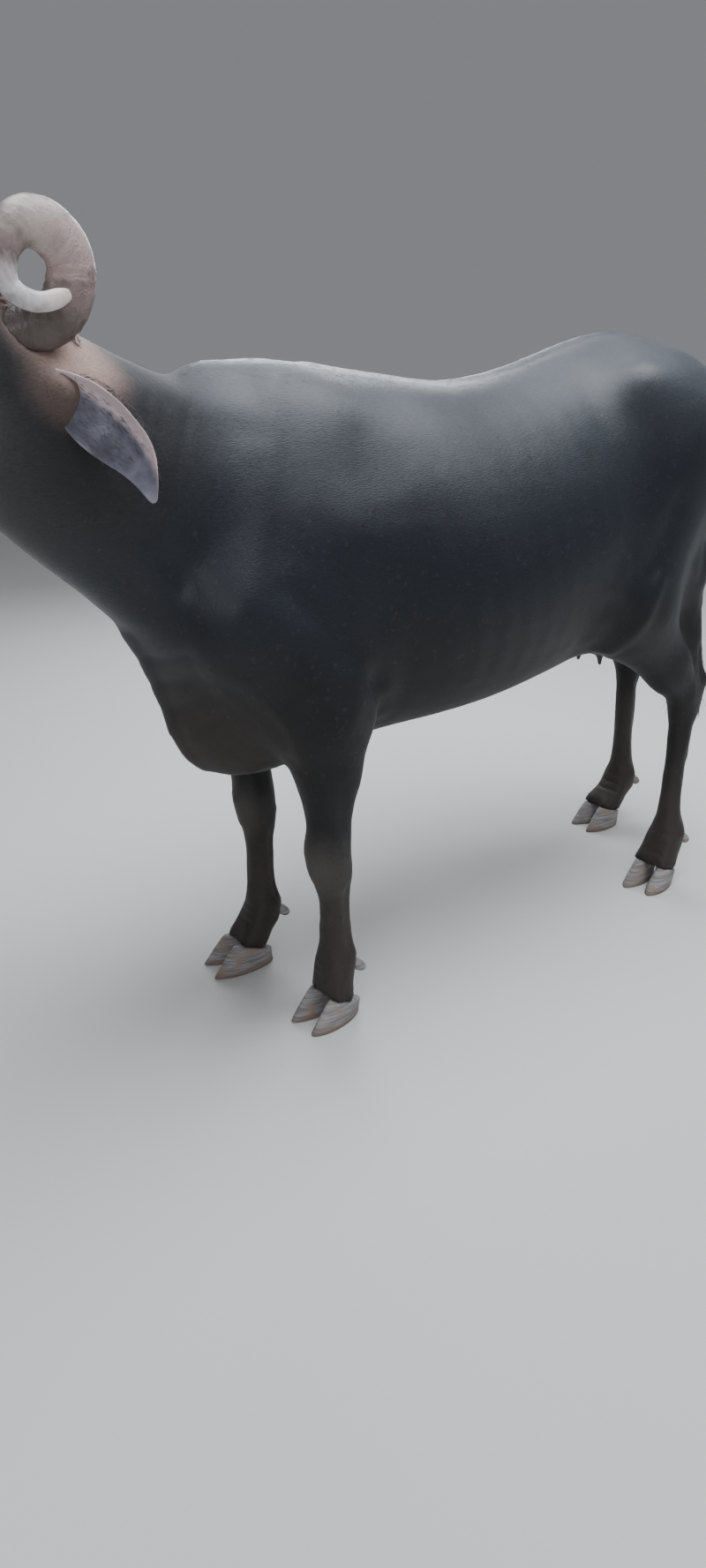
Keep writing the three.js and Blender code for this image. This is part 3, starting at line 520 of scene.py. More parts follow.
normals = normals_of(skin.data)
for points, width, height in HEAD_LINES:
    for side in (1, -1):
        co = raised(co, normals, [head_point(x, side * y, z) for x, y, z in points], width, height)
for side in (1, -1):
    mouth = [head_point(x, side * y, z) for x, y, z in MOUTH]
    co = raised(co, normals, mouth, 4.2, -8)
    pit = [head_point(x, side * y, z) for x, y, z in NOSTRIL]
    co = raised(co, normals, pit, 15, 4)
    co = raised(co, normals, pit, 7.5, -17)
    for wrinkle in range(MUZZLE_WRINKLES):
        x = 360 + 15 * wrinkle
        line = [(x, 66, -72), (x + 8, 62, -40), (x + 4, 46, -4)]
        co = raised(co, normals, [head_point(px, side * py, pz) for px, py, pz in line], 4, -1.3)

LID_LIFT = 0.0036
OPENING = (0.0220, 0.0122)
EYE_CORNER_DROP = 0.10


def eye_frame(side):
    out = np.array(HEAD_TURN @ mirrored(EYE_AXIS, side))
    centre = np.array(HEAD_AT + SHIFT + HEAD_TURN @ mirrored(EYE_AT, side)) - out * EYE_RADIUS * EYE_SINK
    level = head_direction(1, 0, -EYE_CORNER_DROP)
    level = level - out * (level @ out)
    level /= np.linalg.norm(level)
    up = np.cross(level, out) * side
    up = up if up @ np.array(HEAD_TURN @ Vector((0, 0, 1))) > 0 else -up
    return centre, out, level, up


for side in (1, -1):
    centre, out, level, up = eye_frame(side)
    away = co - centre
    reach = np.linalg.norm(away, axis=1)
    near = np.flatnonzero((reach < 0.05) & (away @ out > 0))
    a, b = away[near] @ level, away[near] @ up
    share = np.abs(a) / OPENING[0]
    rim = OPENING[1] * np.sqrt(np.clip(1 - share**1.7, 0, None))
    rim = np.where(b > 0, rim * 1.05, rim * 0.85)
    open_by = np.where(share < 1, rim - np.abs(b), -(share - 1) * OPENING[0])
    inside = fade(open_by, 0.0012, -0.0002)
    direction = away[near] / reach[near][:, None]
    lid = np.maximum(reach[near], EYE_RADIUS + LID_LIFT * fade(-open_by, 0.004, 0.016) + 0.0004)
    sunk = np.minimum(reach[near], EYE_RADIUS - 0.003)
    co[near] = centre + direction * (lid * (1 - inside) + sunk * inside)[:, None]
set_positions(skin.data, co)
for polygon in skin.data.polygons:
    polygon.use_smooth = True
skin_triangles = sum(len(polygon.vertices) - 2 for polygon in skin.data.polygons)
print("skin", len(skin.data.polygons), "faces,", skin_triangles, "triangles")

# %% [markdown]
# The skin now stands for all seven flesh nodes.

# %% The skin takes the flesh's place
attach(skin, "root")
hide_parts(*FLESH)

# %% [markdown]
# Horns and hooves are harder than the flesh and ears thinner, so they stay separate. They could be
# modelled anew, but finer copies of the solids keep their places. Subdivision rounds them, the hooves'
# edges are bevelled first, and the tail is remeshed and smoothed. The horns get their growth rings here.
# The ears are bent further down, with their finish.

# %% Ears, horns, hooves and tail


def smooth_shade(made):
    for polygon in made.data.polygons:
        polygon.use_smooth = True
    return made


def piece_for(node, name, modifiers):
    made = smooth_shade(baked(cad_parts[node], modifiers, name))
    made.data.materials.clear()
    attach(made, "root")
    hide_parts(node)
    return made


WELD = ("WELD", {"merge_threshold": 1e-5})
ROUND = ("SUBSURF", {"levels": 2, "render_levels": 2})
EDGE = ("BEVEL", {"width": 0.004, "segments": 2, "limit_method": "ANGLE", "angle_limit": math.radians(50)})

pieces = {}
for side in ("left", "right"):
    pieces["ear_" + side] = piece_for("ear_" + side, "ear_leaf_" + side, [WELD, ROUND])
    pieces["horn_" + side] = piece_for("horn_" + side, "horn_coil_" + side, [WELD, ROUND])
claws = [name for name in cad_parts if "claw" in name]
for node in claws:
    finer = [WELD, EDGE, ("SUBSURF", {"levels": 1, "render_levels": 1})]
    pieces[node] = piece_for(node, node.replace("claw", "hoof"), finer)
tail = piece_for("tail", "tail_skin", [WELD, ("REMESH", {"mode": "VOXEL", "voxel_size": 0.0032})])
co = positions(tail.data)
co = smoothed(co, edges_of(tail.data), 5, np.ones(len(co)))
set_positions(tail.data, co)
smooth_shade(tail)

HORN_TURNS = [
    (20, 50, -50),
    (-8, 86, -66),
    (-44, 110, -48),
    (-58, 122, -4),
    (-42, 130, 42),
    (4, 136, 58),
    (46, 140, 42),
    (65, 145, -2),
    (52, 153, -45),
    (14, 162, -50),
    (-30, 168, -20),
]
COIL_AT = (38, 0, 104)
HORN_RINGS = 30


def share_along(co, line):
    """For each point, how far along a line its nearest point lies, from 0 to 1."""
    lengths = [np.linalg.norm(b - a) for a, b in zip(line[:-1], line[1:])]
    total, done = sum(lengths), 0.0
    best, share = np.full(len(co), 1e9), np.zeros(len(co))
    for a, b, length in zip(line[:-1], line[1:], lengths):
        t = np.clip((co - a) @ (b - a) / length**2, 0, 1)
        d = np.linalg.norm(co - a - t[:, None] * (b - a), axis=1)
        closer = d < best
        best[closer] = d[closer]
        share[closer] = (done + t[closer] * length) / total
        done += length
    return share


def float_attribute(made, name, values):
    made.data.attributes.new(name, "FLOAT", "POINT").data.foreach_set("value", np.asarray(values, np.float32))


for name, side in (("left", 1), ("right", -1)):
    horn = pieces["horn_" + name]
    spine = [head_point(COIL_AT[0] + x, side * y, COIL_AT[2] + z) for x, y, z in HORN_TURNS]
    co = positions(horn.data)
    share = share_along(co, spine)
    ring = np.sin(2 * np.pi * HORN_RINGS * share) * np.clip(1 - 1.5 * share, 0, 1)
    co += normals_of(horn.data) * (0.0012 * ring)[:, None]
    set_positions(horn.data, co)
    float_attribute(horn, "along", share)

# %% [markdown]
# An eye is a wet ball with a clear bulge in front. It could be a finer copy of the solid, but a sphere
# whose pole points along the line of sight puts the bulge and the pupil in its middle. Three attributes
# give the finish each point's place across, up and in front.

# %% Eyeballs
CORNEA = 0.0012
for name, side in (("left", 1), ("right", -1)):
    centre, out, level, up = eye_frame(side)
    ball = bmesh.new()
    bmesh.ops.create_uvsphere(ball, u_segments=48, v_segments=32, radius=EYE_RADIUS - 0.0001)
    turn = Matrix((level, up, out)).transposed()
    for v in ball.verts:
        bulge = max(v.co.z / EYE_RADIUS, 0) ** 6
        v.co *= 1 + bulge * CORNEA / EYE_RADIUS
        v.co = turn @ v.co + Vector(centre)
    eye = smooth_shade(object_from(ball, "eyeball_" + name))
    co = positions(eye.data) - centre
    float_attribute(eye, "across", (co @ level) / EYE_RADIUS)
    float_attribute(eye, "upward", (co @ up) / EYE_RADIUS)
    float_attribute(eye, "front", np.clip((co @ out) / EYE_RADIUS, 0, 1))
    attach(eye, "root")
    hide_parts("eye_" + name)
    pieces["eye_" + name] = eye

# %% [markdown]
# The hair is short, sparse and flat. Hair curves would be the usual way, but the export drops them, so a
# tuft is a thin three-sided blade, rooted just under the skin, which bends from the skin's normal towards
# the lie of the coat. It is lit with the skin's own normal, so flat fur blends in. Its OFBake coordinates
# are a small patch at its root's place on an unwrap of the skin, with one tile for each part of the body
# and each of six facings. Places beyond a tile are clipped to its edge, as those of the tail switch are.

# %% Tufts of the body, face, poll and chin
SECTIONS = 3
PATCH = 0.003
TILE_SPAN = 2.6


def unwrap_place(points, facing):
    """Where points of the skin lie on its unwrap: a tile by body part and facing, flat within the tile."""
    x, y, z = (points - np.array(SHIFT)).T
    leg = z < 0.60
    part = np.where(leg, 1 + 2 * (x < 0) + (y < 0), 0)
    axis = np.argmax(np.abs(facing), axis=1)
    sign = facing[np.arange(len(facing)), axis] > 0
    flat = np.array([(1, 2), (0, 2), (0, 1)])[axis]
    rows = np.arange(len(points))
    span = np.where(leg, 1.0, TILE_SPAN)
    from_x = np.where(leg, np.where(x < 0, -1.1, 0.1), -1.25)
    from_y = np.where(leg, -0.5, -0.6)
    origin = np.stack([from_x, from_y, 0 * x], axis=1)
    local = (points - origin) / span[:, None]
    u = np.clip(local[rows, flat[:, 0]], 0.01, 0.99)
    v = np.clip(local[rows, flat[:, 1]], 0.01, 0.99)
    return np.stack([(axis * 2 + sign + u) / 6, (part + v) / 5], axis=1)


def tufts(name, roots, normal, lie, length, width, lift):
    """One joined piece of tufts. lie is the direction the hair runs, lift how far it stands off, 0 to 1."""
    n = len(roots)
    lie = lie - normal * np.sum(lie * normal, axis=1, keepdims=True)
    lie /= np.maximum(np.linalg.norm(lie, axis=1, keepdims=True), 1e-6)
    across = np.cross(normal, lie)
    verts = np.zeros((n, SECTIONS * 3 + 1, 3))
    for section in range(SECTIONS + 1):
        t = section / SECTIONS
        rise = lift * (t - 0.45 * t * t)
        centre = roots - normal * 0.0008 + length[:, None] * (lie * (t * 0.92) + normal * rise[:, None])
        if section == SECTIONS:
            verts[:, -1] = centre
            continue
        r = (width * (1 - 0.75 * t))[:, None]
        verts[:, section * 3] = centre + across * r
        verts[:, section * 3 + 1] = centre - across * r
        verts[:, section * 3 + 2] = centre + normal * r * 0.7
    faces = [(0, 1, 2)]
    for section in range(SECTIONS - 1):
        for corner in range(3):
            a, b = section * 3 + corner, section * 3 + (corner + 1) % 3
            faces += [(a, b + 3, b), (a, a + 3, b + 3)]
    last = (SECTIONS - 1) * 3
    faces += [(last + corner, SECTIONS * 3, last + (corner + 1) % 3) for corner in range(3)]
    faces = np.array(faces)
    every = (faces[None] + (np.arange(n) * (SECTIONS * 3 + 1))[:, None, None]).reshape(-1, 3)
    mesh = bpy.data.meshes.new(name)
    mesh.vertices.add(n * (SECTIONS * 3 + 1))
    mesh.vertices.foreach_set("co", verts.astype(np.float32).ravel())
    mesh.loops.add(len(every) * 3)
    mesh.loops.foreach_set("vertex_index", every.astype(np.int32).ravel())
    mesh.polygons.add(len(every))
    mesh.polygons.foreach_set("loop_start", np.arange(0, len(every) * 3, 3, dtype=np.int32))
    mesh.update(calc_edges=True)
    uv = mesh.uv_layers.new(name="OFBake")
    place = unwrap_place(roots, normal)
    corner = PATCH * (np.array([(0, 0), (1, 0), (0.5, 1)]) - 0.5)
    per_loop = place[every.ravel() // (SECTIONS * 3 + 1)] + np.tile(corner, (len(every), 1))
    uv.data.foreach_set("uv", per_loop.astype(np.float32).ravel())
    made = bpy.data.objects.new(name, mesh)
    scene.collection.objects.link(made)
    smooth_shade(made)
    mesh.normals_split_custom_set_from_vertices(np.repeat(normal, SECTIONS * 3 + 1, axis=0).tolist())
    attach(made, "root")
    print(name, n, "tufts,", len(every), "triangles")
    return made


def scatter(made, count, keep):
    """Random points on a piece by area, where keep(points) allows: points and smooth normals."""
    mesh = made.data
    mesh.calc_loop_triangles()
    tri = np.empty(len(mesh.loop_triangles) * 3, np.int32)
    mesh.loop_triangles.foreach_get("vertices", tri)
    tri = tri.reshape(-1, 3)
    co, normal = positions(mesh), normals_of(mesh)
    a, b, c = (co[tri[:, k]] for k in range(3))
    area = np.linalg.norm(np.cross(b - a, c - a), axis=1) * keep((a + b + c) / 3)
    picked = rng.choice(len(tri), count, p=area / area.sum())
    w = rng.dirichlet((1, 1, 1), count)
    points = sum(w[:, k, None] * co[tri[picked, k]] for k in range(3))
    facing = sum(w[:, k, None] * normal[tri[picked, k]] for k in range(3))
    return points, facing / np.linalg.norm(facing, axis=1, keepdims=True)


def in_head_frame(points):
    return (points - np.array(HEAD_AT + SHIFT)) @ np.array(HEAD_TURN) * 1000


def lie_of_coat(points):
    """Hair runs back and down on the body, down on the legs and back from the muzzle on the head."""
    base = np.tile(np.array((-1.0, 0, -0.55)), (len(points), 1))
    low = fade(points[:, 2], 0.55, 0.75)[:, None]
    base = base * (1 - low) + np.array((-0.15, 0, -1.0)) * low
    head = fade(in_head_frame(points)[:, 0], 40, -60)[:, None]
    base = base * (1 - head) + head_direction(-1, 0, -0.3) * head
    return base + rng.normal(0, 0.16, base.shape)


def on_trunk(points):
    h = in_head_frame(points)
    crest = fade(np.abs(points[:, 1]), 0.03, 0.12) * (points[:, 2] > 1.2)
    under = fade(points[:, 2], 0.55, 0.70)
    return (points[:, 2] > 0.16) * (h[:, 0] < 60) * (0.16 + 1.3 * crest + 0.9 * under)


BODY_TUFTS = 15500
BODY_LENGTH = (0.009, 0.019)
BODY_LIFT = (0.06, 0.22)
BODY_WIDTH = 0.034
HEAD_TUFTS = 5000
HEAD_LENGTH = (0.006, 0.012)
HEAD_LIFT = (0.08, 0.22)
HEAD_WIDTH = 0.030
POLL_TUFTS = 2600
POLL_LENGTH = (0.022, 0.046)
POLL_LIFT = (0.3, 0.75)
POLL_WIDTH = 0.026
CHIN_TUFTS = 260
CHIN_LENGTH = (0.014, 0.030)
CHIN_LIFT = (0.6, 1.0)
CHIN_WIDTH = 0.025

roots, facing = scatter(skin, BODY_TUFTS, on_trunk)
size = rng.uniform(*BODY_LENGTH, BODY_TUFTS)
lift = rng.uniform(*BODY_LIFT, BODY_TUFTS)
coat = [tufts("coat_body", roots, facing, lie_of_coat(roots), size, size * BODY_WIDTH, lift)]


def on_face(points):
    h = in_head_frame(points)
    folded = np.stack([h[:, 0], np.abs(h[:, 1]), h[:, 2]], axis=1)
    clear = np.linalg.norm(folded - np.array(EYE_AT) * 1000, axis=1) > 30
    return 1.0 * clear * (h[:, 0] > -40) * (h[:, 0] < 400)


roots, facing = scatter(skin, HEAD_TUFTS, on_face)
size = rng.uniform(*HEAD_LENGTH, HEAD_TUFTS)
lift = rng.uniform(*HEAD_LIFT, HEAD_TUFTS)
coat.append(tufts("coat_face", roots, facing, lie_of_coat(roots), size, size * HEAD_WIDTH, lift))


def on_poll(points):
    h = in_head_frame(points)
    return 1.0 * (h[:, 0] > -90) * (h[:, 0] < 70) * (np.abs(h[:, 1]) < 74) * (h[:, 2] > 40)


roots, facing = scatter(skin, POLL_TUFTS, on_poll)
size = rng.uniform(*POLL_LENGTH, POLL_TUFTS)
forward = np.tile(head_direction(0.8, 0, -0.1), (POLL_TUFTS, 1)) + rng.normal(0, 0.35, (POLL_TUFTS, 3))
lift = rng.uniform(*POLL_LIFT, POLL_TUFTS)
coat.append(tufts("coat_poll", roots, facing, forward, size, size * POLL_WIDTH, lift))


def on_chin(points):
    h = in_head_frame(points)
    return 1.0 * (h[:, 0] > 350) * (h[:, 2] < -118)


roots, facing = scatter(skin, CHIN_TUFTS, on_chin)
size = rng.uniform(*CHIN_LENGTH, CHIN_TUFTS)
down = np.tile(np.array((-0.3, 0, -1.0)), (CHIN_TUFTS, 1)) + rng.normal(0, 0.3, (CHIN_TUFTS, 3))
lift = rng.uniform(*CHIN_LIFT, CHIN_TUFTS)
coat.append(tufts("coat_chin", roots, facing, down, size, size * CHIN_WIDTH, lift))

# %% [markdown]
# The ears carry short hair, and the lower tail ends in a long switch. The switch could be one solid lock,
# but its outline would be too even, so the same tufts serve for both. Those of the tail are kept from
# reaching below its end.

# %% Ear hair and tail switch
EAR_TUFTS = 1300
TAIL_TUFTS = 1500
SWITCH_TOP = 0.80
BARE_EAR_ROOT = 0.05
ear_coats = {}

for name, side in (("left", 1), ("right", -1)):
    ear = pieces["ear_" + name]
    root = head_point(-14, side * 81, -20)
    tip = head_point(-176, side * 193, -134)
    roots, facing = scatter(
        ear, EAR_TUFTS, lambda points: 1.0 * (np.linalg.norm(points - root, axis=1) > BARE_EAR_ROOT)
    )
    size = rng.uniform(0.007, 0.016, EAR_TUFTS)
    lie = np.tile(tip - root, (EAR_TUFTS, 1)) / np.linalg.norm(tip - root)
    lie = lie + rng.normal(0, 0.25, (EAR_TUFTS, 3))
    lift = rng.uniform(0.1, 0.35, EAR_TUFTS)
    ear_coats[name] = tufts("coat_ear_" + name, roots, facing, lie, size, size * 0.04, lift)

roots, facing = scatter(tail, TAIL_TUFTS, lambda points: 0.12 + 1.0 * (points[:, 2] < SWITCH_TOP))
low = fade(roots[:, 2], 0.55, SWITCH_TOP)
tip_room = np.clip(roots[:, 2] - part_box("tail")[0].z, 0.008, 1)
size = np.minimum(rng.uniform(0.03, 0.05, TAIL_TUFTS) + 0.11 * low, tip_room)
down = np.tile(np.array((-0.03, 0, -1.0)), (TAIL_TUFTS, 1)) + rng.normal(0, 0.05, (TAIL_TUFTS, 3))
lift = rng.uniform(0.03, 0.13, TAIL_TUFTS)
coat.append(tufts("tail_switch", roots, facing, down, size, 0.0012 + 0.004 * size, lift))

# %% [markdown]
# Short hair lies down over the top of the hooves. It could be a rim on the skin, but tufts match the coat
# above. They don't hide the skin's edge, which still shows as a cuff.

# %% Hair of the feet
FOOT_TUFTS = 3600
FOOT_LENGTH = (0.009, 0.018)
FOOT_LIFT = (0.05, 0.28)
FOOT_WIDTH = 0.032
FRINGE_TOP = 0.085
FRINGE_BOTTOM = 0.036


def on_fringe(points):
    return 1.0 * (points[:, 2] < FRINGE_TOP) * (points[:, 2] > FRINGE_BOTTOM)


roots, facing = scatter(skin, FOOT_TUFTS, on_fringe)
size = rng.uniform(*FOOT_LENGTH, FOOT_TUFTS)
down = np.tile(np.array((0.1, 0, -1.0)), (FOOT_TUFTS, 1)) + rng.normal(0, 0.18, (FOOT_TUFTS, 3))
lift = rng.uniform(*FOOT_LIFT, FOOT_TUFTS)
coat.append(tufts("coat_feet", roots, facing, down, size, size * FOOT_WIDTH, lift))

# %% [markdown]
# Each finish is worked out by one node group that gives colours, masks and a bumped normal from the place
# on the animal, so the skin and the tufts on it carry the same markings. A painted image would need an
# unwrap for every piece. The shader itself stays in the material, with its constant values on its own
# sockets.

# %% Helpers for the materials


def node_in(tree, kind, inputs=(), **settings):
    """A shader node with settings, and inputs given as (socket, value or other socket) pairs."""
    made = tree.nodes.new("ShaderNode" + kind)
    for key, value in settings.items():
        setattr(made, key, value)
    for key, value in inputs:
        if isinstance(value, bpy.types.NodeSocket):
            tree.links.new(value, made.inputs[key])
        else:
            made.inputs[key].default_value = value
    return made


def calc(tree, operation, a, b=0.0, c=0.0):
    return node_in(tree, "Math", [(0, a), (1, b), (2, c)], operation=operation).outputs[0]


def between(tree, value, start, end):
    """0 where value is at start, 1 at end, smooth between."""
    inputs = [("Value", value), ("From Min", start), ("From Max", end)]
    return node_in(tree, "MapRange", inputs, interpolation_type="SMOOTHSTEP").outputs["Result"]


def blended(tree, share, a, b):
    return node_in(tree, "Mix", [(0, share), (6, a), (7, b)], data_type="RGBA").outputs[2]


def noise(tree, place, scale, detail=3.0):
    return node_in(tree, "TexNoise", [("Vector", place), ("Scale", scale), ("Detail", detail)]).outputs[0]


def stretched(tree, place, scale, turn=(0, 0, 0)):
    return node_in(tree, "Mapping", [("Vector", place), ("Scale", scale), ("Rotation", turn)]).outputs[0]


def near_point(tree, place, point, inner, outer):
    """1 within inner metres of a point, 0 beyond outer."""
    apart = node_in(tree, "VectorMath", [(0, place), (1, tuple(point))], operation="DISTANCE")
    return between(tree, apart.outputs["Value"], outer, inner)


def near_either(tree, place, point_at, inner, outer):
    left, right = (near_point(tree, place, point_at(side), inner, outer) for side in (1, -1))
    return calc(tree, "MAXIMUM", left, right)


def group_of(name, inputs, outputs):
    """A node group with named sockets: its tree, its input node and its output node."""
    tree = bpy.data.node_groups.new(name, "ShaderNodeTree")
    for label, kind in inputs:
        tree.interface.new_socket(label, in_out="INPUT", socket_type="NodeSocket" + kind)
    for label, kind in outputs:
        tree.interface.new_socket(label, in_out="OUTPUT", socket_type="NodeSocket" + kind)
    return tree, tree.nodes.new("NodeGroupInput"), tree.nodes.new("NodeGroupOutput")


SURFACE = [("Colour", "Color"), ("Roughness", "Float"), ("Normal", "Vector")]


def put_out(tree, result, colour, rough, bump):
    for label, value in (("Colour", colour), ("Roughness", rough), ("Normal", bump.outputs["Normal"])):
        tree.links.new(value, result.inputs[label])


def finish_with(name, group, feeds, principled, bumped=True):
    """A material with colour, roughness and normal from a group, and its constants from principled."""
    made = bpy.data.materials.new(name)
    made.use_nodes = True
    tree = made.node_tree
    shader = tree.nodes["Principled BSDF"]
    marks = tree.nodes.new("ShaderNodeGroup")
    marks.node_tree = group
    place = tree.nodes.new("ShaderNodeTexCoord").outputs["Object"]
    for label, source in feeds:
        if source == "place":
            tree.links.new(place, marks.inputs[label])
        else:
            named = node_in(tree, "Attribute", attribute_name=source).outputs["Fac"]
            tree.links.new(named, marks.inputs[label])
    for output, socket in (("Colour", "Base Color"), ("Roughness", "Roughness"), ("Normal", "Normal")):
        if output in marks.outputs and (bumped or output != "Normal"):
            tree.links.new(marks.outputs[output], shader.inputs[socket])
    for socket, value in principled.items():
        shader.inputs[socket].default_value = value
    return made


def give(made, material):
    made.data.materials.clear()
    made.data.materials.append(material)


# %% [markdown]
# Hide: slate black, with a blue-grey bloom over the back that is a painted reflection of the sky, painted
# shade that makes it nearly black below and on the neck behind the ears, brown on the brisket and the lower
# legs, a tan poll between the horns and dusty skin on the knees. Each mark could be painted into an image,
# but a soft round mask at a named place is simpler to read. The relief is fine hair that runs along the body,
# a net of skin wrinkles that is strongest on the head and the lower legs, and slow uneven swells.

# %% Hide
# Painted light by height: the near-black low on the body is painted shade, the blue-grey on the back a
# painted reflection of the sky, the flank tone between them.
SHADE_AND_PARTING_BLACK = (0.0050, 0.0052, 0.0060, 1)
FLANK = (0.0115, 0.0140, 0.0205, 1)
PAINTED_SKY_SHEEN = (0.060, 0.065, 0.076, 1)
BROWN = (0.036, 0.028, 0.024, 1)
DUSTY = (0.105, 0.092, 0.084, 1)
FACE = (0.052, 0.049, 0.050, 1)
POLL = (0.46, 0.31, 0.26, 1)
# Painted shade: the neck behind the ears is darkened, and the back's painted sky sheen is kept off it.
PAINTED_NECK_SHADE = (0.018, 0.018, 0.020, 1)
NOSE = (0.020, 0.019, 0.021, 1)
UDDER_SKIN = (0.075, 0.055, 0.054, 1)

hide_marks, given, result = group_of(
    "hide_marks",
    [("Place", "Vector")],
    SURFACE,
)
place = given.outputs["Place"]
height = node_in(hide_marks, "SeparateXYZ", [(0, place)]).outputs["Z"]
clouds = noise(hide_marks, place, 3.1, 4.0)
level = calc(hide_marks, "MULTIPLY_ADD", calc(hide_marks, "SUBTRACT", clouds, 0.5), 0.34, height)
# level is height with a cloudy edge: low it turns to painted shade, high on the back to the painted sky
# sheen.
colour = blended(hide_marks, between(hide_marks, level, 0.66, 0.98), SHADE_AND_PARTING_BLACK, FLANK)
colour = blended(hide_marks, between(hide_marks, level, 1.05, 1.40), colour, PAINTED_SKY_SHEEN)
colour = blended(hide_marks, between(hide_marks, level, 0.50, 0.22), colour, BROWN)
MARKS = [
    (lambda side: body_point(600, side * 60, 640), 0.05, 0.26, BROWN, 0.75),
    (lambda side: body_point(472, side * 175, 392), 0.02, 0.11, DUSTY, 0.55),
    (lambda side: body_point(-700, side * 180, 540), 0.02, 0.16, BROWN, 0.5),
    (lambda side: head_point(220, side * 30, -20), 0.10, 0.34, FACE, 0.9),
    (lambda side: head_point(20, side * 60, -170), 0.05, 0.30, FACE, 0.65),
    # painted shade on the neck behind the ears
    (lambda side: body_point(790, 84 + side * 40, 1290), 0.13, 0.27, PAINTED_NECK_SHADE, 0.92),
    (lambda side: head_point(12, side * 52, 62), 0.020, 0.100, POLL, 0.90),
    (lambda side: head_point(-66, side * 84, 24), 0.015, 0.125, POLL, 0.85),
    (lambda side: head_point(474, side * 30, -50), 0.035, 0.075, NOSE, 0.95),
    (lambda side: head_point(*(1000 * v for v in mirrored(EYE_AT, side))), 0.012, 0.034, NOSE, 0.85),
    (lambda side: body_point(-555, side * 40, 650), 0.05, 0.12, UDDER_SKIN, 0.8),
]
for point_at, inner, outer, tint, share in MARKS:
    mask = calc(hide_marks, "MULTIPLY", near_either(hide_marks, place, point_at, inner, outer), share)
    colour = blended(hide_marks, mask, colour, tint)
grain = stretched(hide_marks, place, (90, 620, 430), (0, math.radians(24), 0))
hairs = noise(hide_marks, grain, 1.0, 3.0)
dust = between(hide_marks, noise(hide_marks, place, 90, 2.0), 0.58, 0.80)
colour = blended(hide_marks, calc(hide_marks, "MULTIPLY", dust, 0.16), colour, DUSTY)
# Partings between the hairs take the same near-black, as a tone of the skin.
parted = calc(hide_marks, "MULTIPLY", between(hide_marks, hairs, 0.60, 0.30), 0.30)
colour = blended(hide_marks, parted, colour, SHADE_AND_PARTING_BLACK)

crackle = node_in(
    hide_marks,
    "TexVoronoi",
    [("Vector", stretched(hide_marks, place, (1.3, 1.0, 0.8))), ("Scale", 62.0)],
    feature="DISTANCE_TO_EDGE",
).outputs[0]
wrinkles = between(hide_marks, crackle, 0.0, 0.24)
creased = near_either(hide_marks, place, lambda side: head_point(40, side * 60, -60), 0.30, 0.55)
creased = calc(hide_marks, "MAXIMUM", creased, between(hide_marks, height, 0.36, 0.16))
creased = calc(hide_marks, "MULTIPLY_ADD", creased, 0.16, 0.05)
relief = calc(hide_marks, "MULTIPLY", wrinkles, creased)
relief = calc(hide_marks, "MULTIPLY_ADD", hairs, 0.60, relief)
relief = calc(hide_marks, "MULTIPLY_ADD", noise(hide_marks, place, 24, 3.0), 0.7, relief)
bump = node_in(hide_marks, "Bump", [("Strength", 0.55), ("Distance", 0.0016), ("Height", relief)])
wet = near_either(hide_marks, place, lambda side: head_point(474, side * 30, -50), 0.03, 0.06)
rough = calc(hide_marks, "MULTIPLY_ADD", clouds, 0.24, 0.34)
rough = calc(hide_marks, "MULTIPLY_ADD", between(hide_marks, level, 1.0, 0.6), 0.14, rough)
rough = calc(hide_marks, "MULTIPLY_ADD", wet, -0.18, rough)
matt = near_either(hide_marks, place, lambda side: body_point(790, 84 + side * 40, 1290), 0.13, 0.30)
rough = calc(hide_marks, "MULTIPLY_ADD", matt, 0.26, rough)
put_out(hide_marks, result, colour, rough, bump)

sheen = {
    "Sheen Weight": 0.04,
    "Sheen Roughness": 0.42,
    "Sheen Tint": (0.80, 0.88, 1.0, 1),
    "Specular IOR Level": 0.34,
}
HIDE = finish_with("hide", hide_marks, [("Place", "place")], sheen)
FUR = finish_with("fur", hide_marks, [("Place", "place")], sheen, bumped=False)
for made in [skin, tail]:
    give(made, HIDE)
for made in coat:
    give(made, FUR)

# %% [markdown]
# Horn: grey-brown at the root, a pinkish worn face over the dome of the coil, a dark band under it that is
# painted shade inside the coil, and a pale end, with growth rings across and fine streaks along. The coil
# crosses any straight axis several times, so its bands follow an attribute that counts along the horn.
# Hooves:
# grey horn with dust in their rings, on plain coordinates, as they are short and upright.

# %% Horn and hooves
HORN_STOPS = [
    (0.00, (0.060, 0.048, 0.042, 1)),
    (0.22, (0.110, 0.084, 0.076, 1)),
    (0.38, (0.400, 0.295, 0.280, 1)),
    (0.58, (0.420, 0.350, 0.320, 1)),
    # painted shade: the dark band under the dome stands for the shade inside the coil
    (0.72, (0.130, 0.090, 0.082, 1)),
    (0.84, (0.640, 0.610, 0.640, 1)),
    (1.00, (0.760, 0.640, 0.580, 1)),
]
HORN_GRIME = (0.07, 0.052, 0.045, 1)
HOOF_DARK = (0.18, 0.170, 0.172, 1)
HOOF_PALE = (0.33, 0.315, 0.315, 1)
HOOF_DUST = (0.30, 0.22, 0.17, 1)
HOOF_EARTH = (0.16, 0.095, 0.065, 1)


def ramped(tree, value, stops):
    made = node_in(tree, "ValToRGB", [(0, value)])
    elements = made.color_ramp.elements
    for position, colour in stops[1:-1]:
        elements.new(position)
    for element, (position, colour) in zip(elements, stops):
        element.position = position
        element.color = colour
    return made.outputs["Color"]


